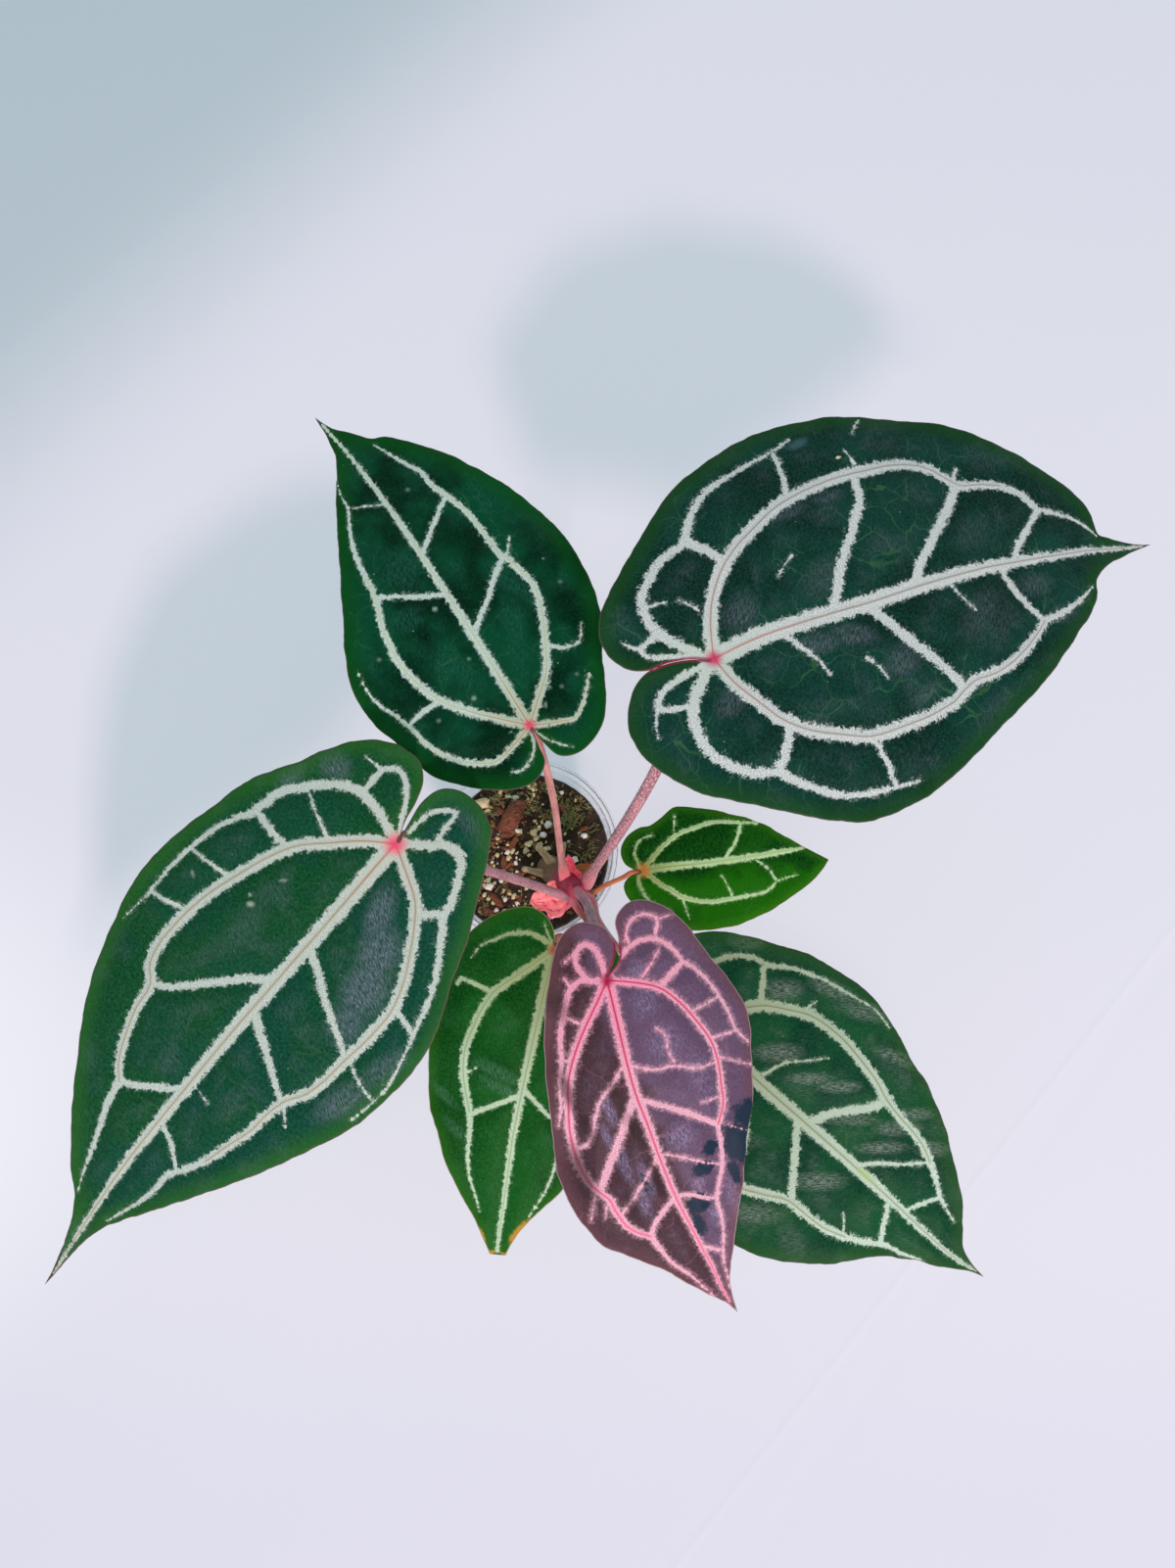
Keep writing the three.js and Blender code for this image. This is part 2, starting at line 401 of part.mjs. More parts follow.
    petiole: {
      radius: 1.9, wing: 0.5,
      points: [[30, -24.5, 107], [37, -29.5, 110.5], [41, -42, 122], [56, -62, 132]],
    },
  },
];

// Papery bracts round the crown: foot, tip, widths, how far the sides fold up, and colour.
const BRACTS = [
  {
    name: "coral", color: 0xee7c88,
    foot: [21, -26, 99], tip: [3, -28, 106], width: 19, cup: 5, ruffle: 1.3,
  },
  {
    name: "scarlet", color: 0xb01834,
    foot: [28, -17, 104], tip: [33, 0, 116], width: 10, cup: 2.5, ruffle: 0.4,
  },
  {
    name: "pink", color: 0xe0708a,
    foot: [20.5, -24, 96], tip: [18.5, -45, 103], width: 10, cup: 2.5, ruffle: 0.6,
  },
  {
    name: "brown", color: 0x8a5a34,
    foot: [27, -14.5, 101], tip: [43, -9, 109], width: 8, cup: 2, ruffle: 0.3,
  },
];

// Dry ends of old petioles on the stem: foot, tip and radius at the foot.
const STUBS = [
  { name: "stub_1", foot: [15, -8, 91], tip: [7, 1, 104], radius: 2.4 },
  { name: "stub_2", foot: [10, -13, 89], tip: [-2, -11, 99], radius: 2.1 },
  { name: "stub_3", foot: [20, -9, 97], tip: [22, 3, 106], radius: 1.6 },
];

const wasm = await Module();
wasm.setup();

// A seeded draw, so that the soil is the same each time.
function seeded(seed) {
  let state = seed;
  return () => {
    state = (state * 16807) % 2147483647;
    return state / 2147483647;
  };
}

// Joining and cutting.
function toSolid(geometry) {
  const bare = geometry.clone();
  for (const name of Object.keys(bare.attributes)) if (name !== "position") bare.deleteAttribute(name);
  const merged = mergeVertices(bare, 1e-4);
  const vertProperties = new Float32Array(merged.attributes.position.array);
  return new wasm.Manifold(
    new wasm.Mesh({ numProp: 3, vertProperties, triVerts: new Uint32Array(merged.index.array) }),
  );
}

function toGeometry(solid) {
  const { vertProperties, triVerts, numProp, numVert } = solid.getMesh();
  const position = new Float32Array(numVert * 3);
  for (let i = 0; i < numVert; i++) {
    position.set(vertProperties.subarray(i * numProp, i * numProp + 3), 3 * i);
  }
  const geometry = new THREE.BufferGeometry();
  geometry.setAttribute("position", new THREE.BufferAttribute(position, 3));
  geometry.setIndex(new THREE.BufferAttribute(triVerts, 1));
  geometry.computeVertexNormals();
  return geometry;
}

const cut = (geometry, ...tools) =>
  toGeometry(tools.reduce((solid, tool) => solid.subtract(toSolid(tool)), toSolid(geometry)));

// The triangles that close a ring: a fan for a round one, a strip for a thin folded one.
const fanCap = (ring) => ring.slice(2).flatMap((p, k) => [ring[0], ring[k + 1], p]);
const stripCap = (ring) => {
  const half = ring.length / 2;
  const row = Array.from({ length: half - 1 }, (_, k) => k);
  return row.flatMap((k) => {
    const [a, b, c, d] = [ring[k], ring[k + 1], ring.at(-2 - k), ring.at(-1 - k)];
    return [a, b, c, a, c, d];
  });
};

// A closed sweep: rings of points, each joined to the next, with a cap at both ends.
function sweep(rings, cap = fanCap) {
  const sides = rings[0].length;
  const corners = [...cap(rings[0]).reverse(), ...cap(rings.at(-1))];
  for (let i = 0; i + 1 < rings.length; i++) {
    for (let k = 0; k < sides; k++) {
      const n = (k + 1) % sides;
      const [a, b, c, d] = [rings[i][k], rings[i][n], rings[i + 1][n], rings[i + 1][k]];
      corners.push(a, b, c, a, c, d);
    }
  }
  const position = corners.flatMap((p) => [p.x, p.y, p.z]);
  const geometry = new THREE.BufferGeometry();
  geometry.setAttribute("position", new THREE.Float32BufferAttribute(position, 3));
  return geometry;
}

// A stalk along a curve through points. size(t) gives its half width and half depth from 0 to 1.
function stalk(points, steps, sides, size) {
  const path = new THREE.CatmullRomCurve3(points.map((p) => new THREE.Vector3(...p)));
  const rings = [];
  for (let i = 0; i <= steps; i++) {
    const t = i / steps;
    const middle = path.getPointAt(t);
    const along = path.getTangentAt(t);
    const across = new THREE.Vector3(0, 0, 1).cross(along).normalize();
    const front = along.clone().cross(across);
    const [wide, deep] = size(t);
    rings.push(
      Array.from({ length: sides }, (_, k) => {
        const a = (2 * PI * k) / sides;
        return middle.clone().addScaledVector(across, wide * cos(a)).addScaledVector(front, deep * sin(a));
      }),
    );
  }
  return sweep(rings);
}

// Leaf blades.
const curveThrough = (points, step) => {
  const flat = points.map(([x, y]) => new THREE.Vector3(x, y, 0));
  const curve = new THREE.CatmullRomCurve3(flat, false, "centripetal");
  return curve.getSpacedPoints(max(2, Math.round(curve.getLength() / step)));
};

// How far a point of the flat leaf stands above its plane: the arch of the midrib, the shallow fold
// along it, the sides curling down, and the waved margin.
function bent({ length, width, arch, vee, curl, wave, step, phase }, x, y) {
  const t = y / length;
  const crease = 0.03 * length;
  const side = Math.sign(x);
  return (
    arch * 4 * t * (1 - t) +
    vee * (hypot(x, crease) - crease) -
    (curl[x < 0 ? 0 : 1] * x * x) / width +
    wave * (x / width) ** 2 * sin((2 * PI * y) / step + phase * side)
  );
}

// Distance in the flat leaf from a point to the edge of the nearest main vein.
function veinDistance(segments, x, y) {
  let nearest = Infinity;
  for (const { a, b, half } of segments) {
    const dx = b.x - a.x;
    const dy = b.y - a.y;
    const t = max(0, min(1, ((x - a.x) * dx + (y - a.y) * dy) / (dx * dx + dy * dy)));
    nearest = min(nearest, hypot(x - a.x - t * dx, y - a.y - t * dy) - half);
  }
  return max(0, nearest);
}

// Splits the inside of a closed outline into triangles through every inner point.
// It starts from the outline's own triangles, sinks each point into the one that holds it,
// and turns shared edges until no triangle could be better shaped.
function triangulate(rim, inner) {
  const points = rim.concat(inner);
  const faces = new Set();
  const owner = new Map();
  const key = (a, b) => a * points.length + b;
  const edges = ([a, b, c]) => [[a, b], [b, c], [c, a]];
  const turn = (p, q, r) => (q.x - p.x) * (r.y - p.y) - (q.y - p.y) * (r.x - p.x);
  const add = (...face) => {
    faces.add(face);
    edges(face).forEach(([a, b]) => owner.set(key(a, b), face));
  };
  const drop = (face) => {
    faces.delete(face);
    edges(face).forEach(([a, b]) => owner.delete(key(a, b)));
  };
  const inCircle = (a, b, c, d) => {
    const rows = [a, b, c].map((p) => [p.x - d.x, p.y - d.y, (p.x - d.x) ** 2 + (p.y - d.y) ** 2]);
    const [[ax, ay, az], [bx, by, bz], [cx, cy, cz]] = rows;
    return ax * (by * cz - bz * cy) - ay * (bx * cz - bz * cx) + az * (bx * cy - by * cx);
  };
  const settle = (a, b) => {
    const near = owner.get(key(a, b));
    const far = owner.get(key(b, a));
    if (!near || !far) return;
    const c = near.find((v) => v !== a && v !== b);
    const d = far.find((v) => v !== a && v !== b);
    if (inCircle(points[a], points[b], points[c], points[d]) < 1e-6) return;
    drop(near);
    drop(far);
    add(a, d, c);
    add(d, b, c);
    [[a, d], [d, b], [b, c], [c, a]].forEach(([p, q]) => settle(p, q));
  };
  for (const [a, b, c] of THREE.ShapeUtils.triangulateShape(rim, [])) {
    if (turn(points[a], points[b], points[c]) > 0) add(a, b, c);
    else add(a, c, b);
  }
  [...faces].forEach((face) => edges(face).forEach(([a, b]) => settle(a, b)));
  for (let i = rim.length; i < points.length; i++) {
    const holds = (face) => edges(face).every(([a, b]) => turn(points[a], points[b], points[i]) > 0.5);
    const home = [...faces].find(holds);
    if (!home) continue;
    drop(home);
    edges(home).forEach(([a, b]) => add(a, b, i));
    edges(home).forEach(([a, b]) => settle(a, b));
  }
  return { points, faces: [...faces] };
}

// The points that a blade's faces run through: both edges of each main vein, the middle of each fine one,
// and a loose grid between them.
function innerPoints(leaf, rim, spacing) {
  const kept = rim.map((p) => [p.x, p.y]);
  const inner = [];
  const keep = (x, y, room) => {
    if (kept.some(([u, v]) => hypot(u - x, v - y) < room)) return;
    kept.push([x, y]);
    inner.push(new THREE.Vector2(x, y));
  };
  for (const { from, to, points } of leaf.veins) {
    const line = curveThrough(points, VEIN_STEP * spacing);
    line.forEach((p, i) => {
      const half = (from + ((to - from) * i) / (line.length - 1)) / 2;
      if (2 * half < MAIN_VEIN_WIDTH * spacing) return keep(p.x, p.y, CLOSEST * 1.5 * spacing);
      const before = line[max(0, i - 1)];
      const after = line[min(line.length - 1, i + 1)];
      const along = after.clone().sub(before).normalize();
      keep(p.x - half * along.y, p.y + half * along.x, CLOSEST * spacing);
      keep(p.x + half * along.y, p.y - half * along.x, CLOSEST * spacing);
    });
  }
  const gap = PANEL_STEP * spacing;
  const box = new THREE.Box2().setFromPoints(rim);
  let row = 0;
  for (let y = box.min.y; y < box.max.y; y += 0.87 * gap) {
    for (let x = box.min.x + ((row % 2) * gap) / 2; x < box.max.x; x += gap) keep(x, y, 0.55 * gap);
    row += 1;
  }
  return inner;
}

// A blade in its own frame: two faces alike, set apart by the thickness, and closed along the margin.
function bladeGeometry(leaf) {
  const spacing = min(1, max(0.6, leaf.bend.length / 190));
  const sides = [leaf.right, leaf.left].map((side) => curveThrough(side, MARGIN_STEP * spacing));
  const rim = [];
  for (const p of sides.flat()) {
    const point = new THREE.Vector2(p.x, p.y);
    if (!rim.length || rim.at(-1).distanceTo(point) > 0.5) rim.push(point);
  }
  if (rim[0].distanceTo(rim.at(-1)) < 0.5) rim.pop();
  rim.reverse();
  const segments = [];
  for (const { from, to, points } of leaf.veins) {
    if (max(from, to) < MAIN_VEIN_WIDTH * spacing) continue;
    const line = curveThrough(points, 6);
    for (let i = 0; i + 1 < line.length; i++) {
      const half = (from + ((to - from) * i) / line.length) / 2;
      segments.push({ a: line[i], b: line[i + 1], half });
    }
  }
  const middle = (x, y) => {
    const rise = PANEL_RISE * spacing * (1 - exp(-((veinDistance(segments, x, y) / PANEL_REACH) ** 2)));
    return new THREE.Vector3(x, y, bent(leaf.bend, x, y) + rise);
  };
  const { points, faces } = triangulate(rim, innerPoints(leaf, rim, spacing));
  const layer = (side) =>
    points.map(({ x, y }) => {
      const alongX = bent(leaf.bend, x + 0.5, y) - bent(leaf.bend, x - 0.5, y);
      const alongY = bent(leaf.bend, x, y + 0.5) - bent(leaf.bend, x, y - 0.5);
      const out = new THREE.Vector3(-alongX, -alongY, 1).normalize();
      return middle(x, y).addScaledVector(out, (side * BLADE_THICKNESS) / 2);
    });
  const top = layer(1);
  const under = layer(-1);
  const position = [];
  const face = (...corners) => corners.forEach((p) => position.push(p.x, p.y, p.z));
  for (const [a, b, c] of faces) {
    face(top[a], top[b], top[c]);
    face(under[a], under[c], under[b]);
  }
  rim.forEach((_, i) => {
    const n = (i + 1) % rim.length;
    face(top[i], under[i], under[n]);
    face(top[i], under[n], top[n]);
  });
  const geometry = new THREE.BufferGeometry();
  geometry.setAttribute("position", new THREE.Float32BufferAttribute(position, 3));
  return geometry;
}

const RADIANS = PI / 180;
function placeLeaf(mesh, leaf) {
  mesh.position.set(...leaf.junction);
  mesh.rotation.set(leaf.pitch * RADIANS, leaf.roll * RADIANS, -leaf.heading * RADIANS, "ZXY");
  mesh.updateMatrixWorld(true);
}

// A petiole runs from inside the stem to just under the junction of its blade.
function petioleGeometry(leaf, blade, stem) {
  const { radius, wing, points } = leaf.petiole;
  const below = (y, drop) => blade.localToWorld(new THREE.Vector3(0, y, -drop)).toArray();
  const seat = BLADE_THICKNESS / 2 + GAP + (0.96 + KNEE_SWELLING) * radius;
  const path = [...points, below(-6, seat + 4), below(2, seat + 0.1)];
  const length = new THREE.CatmullRomCurve3(path.map((p) => new THREE.Vector3(...p))).getLength();
  const steps = Math.round(length / PETIOLE_STEP) + 3;
  const body = stalk(path, steps, PETIOLE_SIDES, (t) => {
    const foot = exp(-(((t * length - 5) / 7) ** 2));
    const sheath = exp(-(((t * length - 8) / 9) ** 2));
    const knee = exp(-((((1 - t) * length) / 7) ** 2));
    const deep = radius * (0.94 + FOOT_SWELLING * foot + KNEE_SWELLING * knee);
    return [deep + radius * wing * sheath, deep];
  });
  return cut(body, stem);
}

// A bract: a pointed papery sheet, cupped towards its middle line, with ruffled sides.
// Each cross section is a thin curved strip, so both ends are closed by strips too.
function bractGeometry({ foot, tip, width, cup, ruffle }, stem) {
  const start = new THREE.Vector3(...foot);
  const along = new THREE.Vector3(...tip).sub(start);
  const across = along.clone().cross(new THREE.Vector3(0, 0, 1)).normalize();
  const out = across.clone().cross(along).normalize();
  const rows = 7;
  const columns = 6;
  const rings = [];
  for (let i = 0; i <= rows; i++) {
    const t = i / rows;
    const half = (width / 2) * (0.55 + 0.45 * sin(PI * min(1, t * 1.5))) * sqrt(max(0.02, 1 - t ** 3));
    const edge = (k, side) => {
      const v = (2 * k) / columns - 1;
      const lift = cup * v * v + ruffle * Math.abs(v) * sin(9 * t + 2 * v);
      return start
        .clone()
        .addScaledVector(along, t)
        .addScaledVector(across, half * v)
        .addScaledVector(out, lift + (side * BRACT_THICKNESS) / 2);
    };
    const upper = Array.from({ length: columns + 1 }, (_, k) => edge(k, 1));
    const lower = Array.from({ length: columns + 1 }, (_, k) => edge(columns - k, -1));
    rings.push([...upper, ...lower]);
  }
  return cut(sweep(rings, stripCap), stem);
}

// The short leaning stem, ringed with the scars of old leaves and narrower at its crown.
// With room on every side it is the tool that cuts its neighbours' seats.
function stemGeometry(room) {
  const path = STEM_PATH.map((point) => [...point]);
  path[0][2] -= 1.2 * room;
  path.at(-1)[2] += 1.2 * room;
  return stalk(path, STEM_RINGS, STEM_SIDES, (t) => {
    const scar = STEM_SCAR * (Math.round(t * STEM_RINGS) % 2);
    const crown = 1 - 0.35 * t ** 6;
    const radius = (STEM_RADIUS - 1.2 * t + scar) * crown + room;
    return [radius, radius];
  });
}

// The pot: a thin tapered wall with a shoulder and a rolled rim, and drain holes in its floor.
const wallRadius = (z) =>
  POT_BASE_RADIUS + ((POT_SHOULDER_RADIUS - POT_BASE_RADIUS) * z) / POT_SHOULDER_HEIGHT;

function potGeometry() {
  const profile = [
    [0, 0],
    [POT_BASE_RADIUS - 2, 0],
    [POT_BASE_RADIUS, 2],
    [wallRadius(POT_SHOULDER_HEIGHT), POT_SHOULDER_HEIGHT],
    [POT_RIM_RADIUS - 1.2, POT_SHOULDER_HEIGHT + 1.4],
    [POT_RIM_RADIUS - 0.8, POT_HEIGHT - 3],
    [POT_RIM_RADIUS, POT_HEIGHT - 2.6],
    [POT_RIM_RADIUS, POT_HEIGHT - 0.8],
    [POT_RIM_RADIUS - 0.8, POT_HEIGHT],
    [POT_RIM_RADIUS - 1.9, POT_HEIGHT],
    [POT_RIM_RADIUS - 2.1, POT_SHOULDER_HEIGHT + 2],
    [POT_SHOULDER_RADIUS - POT_WALL, POT_SHOULDER_HEIGHT],
    [wallRadius(POT_FLOOR) - POT_WALL, POT_FLOOR],
    [0, POT_FLOOR],
  ];
  const body = new THREE.LatheGeometry(profile.map(([r, z]) => new THREE.Vector2(r, z)), POT_SIDES);
  body.rotateX(PI / 2);
  const holes = Array.from({ length: DRAIN_HOLES }, (_, k) => {
    const a = (2 * PI * (k + 0.5)) / DRAIN_HOLES;
    const hole = new THREE.CylinderGeometry(DRAIN_RADIUS, DRAIN_RADIUS, 4 * POT_FLOOR, 12);
    return hole.rotateX(PI / 2).translate(DRAIN_CIRCLE * cos(a), DRAIN_CIRCLE * sin(a), POT_FLOOR / 2);
  });
  return cut(body, ...holes);
}

// The mix: a plug that fits the pot, with a crumbly top and lumps of perlite, pumice and bark in it.
function soilGeometry(stem) {
  const draw = seeded(41);
  const floor = POT_FLOOR + GAP;
  const fit = (z) => wallRadius(z) - POT_WALL - SOIL_FIT;
  const top = (r) => SOIL_HEIGHT - 2.5 * (r / fit(SOIL_HEIGHT)) ** 4;
  const rings = [];
  const ring = (r, height) =>
    rings.push(
      Array.from({ length: SOIL_SIDES }, (_, k) => {
        const a = (2 * PI * k) / SOIL_SIDES;
        return new THREE.Vector3(r * cos(a), r * sin(a), height());
      }),
    );
  ring(fit(floor), () => floor);
  ring(fit(SOIL_HEIGHT - 8), () => SOIL_HEIGHT - 8);
  for (let i = SOIL_RINGS; i > 0; i--) {
    const r = (fit(SOIL_HEIGHT - 4) * i) / SOIL_RINGS;
    ring(r, () => top(r) + SOIL_CRUMB * (draw() - 0.5));
  }
  let mix = toSolid(sweep(rings));
  const neck = STEM_PATH[1];
  const [smallest, largest] = CHIP_SIZES;
  for (let k = 0; k < CHIP_COUNT; k++) {
    const r = CHIP_SPREAD * sqrt(draw());
    const a = 2 * PI * draw();
    const size = smallest + (largest - smallest) * draw();
    const x = r * cos(a);
    const y = r * sin(a);
    const tilt = [2 * PI * draw(), 2 * PI * draw(), 2 * PI * draw()];
    if (hypot(x - neck[0], y - neck[1]) < STEM_RADIUS + 5) continue;
    const chip = new THREE.IcosahedronGeometry(size, 0).scale(1, 0.8, 0.7 + 0.5 * (k % 3));
    chip.rotateX(tilt[0]).rotateY(tilt[1]).rotateZ(tilt[2]).translate(x, y, top(r) + 0.1 * size);
    mix = mix.add(toSolid(chip));
  }
  return toGeometry(mix.subtract(toSolid(stem)));
}

const plant = new THREE.Group();
plant.name = "potted_anthurium";

function addMesh(name, geometry, color, roughness, extra = {}) {
  const material = new THREE.MeshStandardMaterial({ color, roughness, metalness: 0, ...extra });
  const mesh = new THREE.Mesh(geometry, material);
  mesh.name = name;
  plant.add(mesh);
  return mesh;
}

const stemRoom = stemGeometry(GAP);
addMesh("pot", potGeometry(), 0xdfe6ea, 0.2, { transparent: true, opacity: 0.35 });
addMesh("soil", soilGeometry(stemRoom), 0x1a120d, 0.95);
addMesh("stem", stemGeometry(0), 0x8a6a58, 0.8);
for (const bract of BRACTS) {
  addMesh("bract_" + bract.name, bractGeometry(bract, stemRoom), bract.color, 0.6);
}
for (const { name, foot, tip, radius } of STUBS) {
  const stub = stalk([foot, tip], 3, 7, (t) => [radius * (1 - 0.45 * t), radius * (1 - 0.45 * t)]);
  addMesh(name, cut(stub, stemRoom), 0x7d6a52, 0.9);
}
for (const leaf of LEAVES) {
  const blade = addMesh("blade_" + leaf.name, bladeGeometry(leaf), leaf.color, 0.55);
  placeLeaf(blade, leaf);
  addMesh("petiole_" + leaf.name, petioleGeometry(leaf, blade, stemRoom), 0xc08088, 0.5);
}

export default plant;
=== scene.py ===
"""A young velvet-leaved anthurium hybrid in a small clear nursery pot.

Sizes are in millimetres until a mesh is made, which is in metres.
Each leaf is drawn flat, with its junction at (0, 0), its tip up +Y and its upper face towards +Z,
then bent by one formula and set on the end of its petiole.
"""
import json
import math
import random

import bmesh
import bpy
import numpy as np
from mathutils import Euler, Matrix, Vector, noise
from mathutils.geometry import delaunay_2d_cdt
from mathutils.kdtree import KDTree

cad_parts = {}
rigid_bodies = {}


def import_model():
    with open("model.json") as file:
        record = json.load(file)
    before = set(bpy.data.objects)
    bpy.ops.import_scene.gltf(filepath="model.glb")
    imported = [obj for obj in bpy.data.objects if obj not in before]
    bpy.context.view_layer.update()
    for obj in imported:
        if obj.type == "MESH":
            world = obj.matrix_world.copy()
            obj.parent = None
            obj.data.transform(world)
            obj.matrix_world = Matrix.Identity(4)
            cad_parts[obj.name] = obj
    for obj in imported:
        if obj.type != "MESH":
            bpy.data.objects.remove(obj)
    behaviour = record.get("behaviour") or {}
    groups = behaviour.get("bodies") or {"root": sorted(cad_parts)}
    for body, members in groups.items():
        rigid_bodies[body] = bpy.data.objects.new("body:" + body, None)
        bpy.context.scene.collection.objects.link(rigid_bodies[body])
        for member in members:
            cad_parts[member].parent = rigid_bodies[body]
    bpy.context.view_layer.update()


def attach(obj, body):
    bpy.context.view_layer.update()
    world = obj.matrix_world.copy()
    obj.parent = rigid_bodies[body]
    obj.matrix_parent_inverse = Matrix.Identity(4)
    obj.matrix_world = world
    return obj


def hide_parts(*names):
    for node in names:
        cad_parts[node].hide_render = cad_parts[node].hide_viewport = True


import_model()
MM = 0.001

# The camera looks down from arm's length, ten degrees off the vertical.
CAMERA_AT = (34.8, -79.9, 766.3)
CAMERA_TILT = 10
FOCAL_PIXELS = 1203
IMAGE_WIDTH = 1200

# The nursery pot and its filling, as in the model. The mix lies lower at its edge than in its middle.
POT_BASE_RADIUS = 38
POT_SHOULDER_RADIUS = 50
POT_SHOULDER_HEIGHT = 87
POT_WALL = 1.1
POT_FLOOR = 1.4
SOIL_HEIGHT = 83
SOIL_RADIUS = 46.2
SOIL_EDGE_RADIUS = 46
SOIL_EDGE_DROP = 2.5
SOIL_GRAIN = 0.95
SOIL_SIDES = 240

# Blades: the spacing of their points above and below, and their thickness here and in the model.
FINE = 1.0
COARSE = 3.5
BLADE_THICKNESS = 0.7
SEAT_THICKNESS = 0.9

# Their relief: how far panels rise between the veins that are at least so wide, how deep the small
# veins lie, and how high the line in a vein's middle stands.
MAIN_VEIN_WIDTH = 2.3
PANEL_RISE = 1.5
PANEL_REACH = 5
SMALL_VEIN_DEPTH = 0.3
SMALL_VEIN_REACH = 1.6
LINE_RISE = 0.28
LINE_REACH = 0.6

# Each vein counts its length from a start of its own, so that no two are combed alike.
RUN_APART = 37.0

# Petioles: how far up the sheath and the stouter foot go, and how far down the knee goes.
PETIOLE_SIDES = 20
SHEATH_LENGTH = 15
FOOT_REACH = 16
KNEE_REACH = 7

STEM_PATH = [(10, -5, 70), (14, -10, 84), (22, -18, 101), (29, -25, 117)]
STEM_RADIUS = 8
STEM_IN_SOIL = (13, -9)

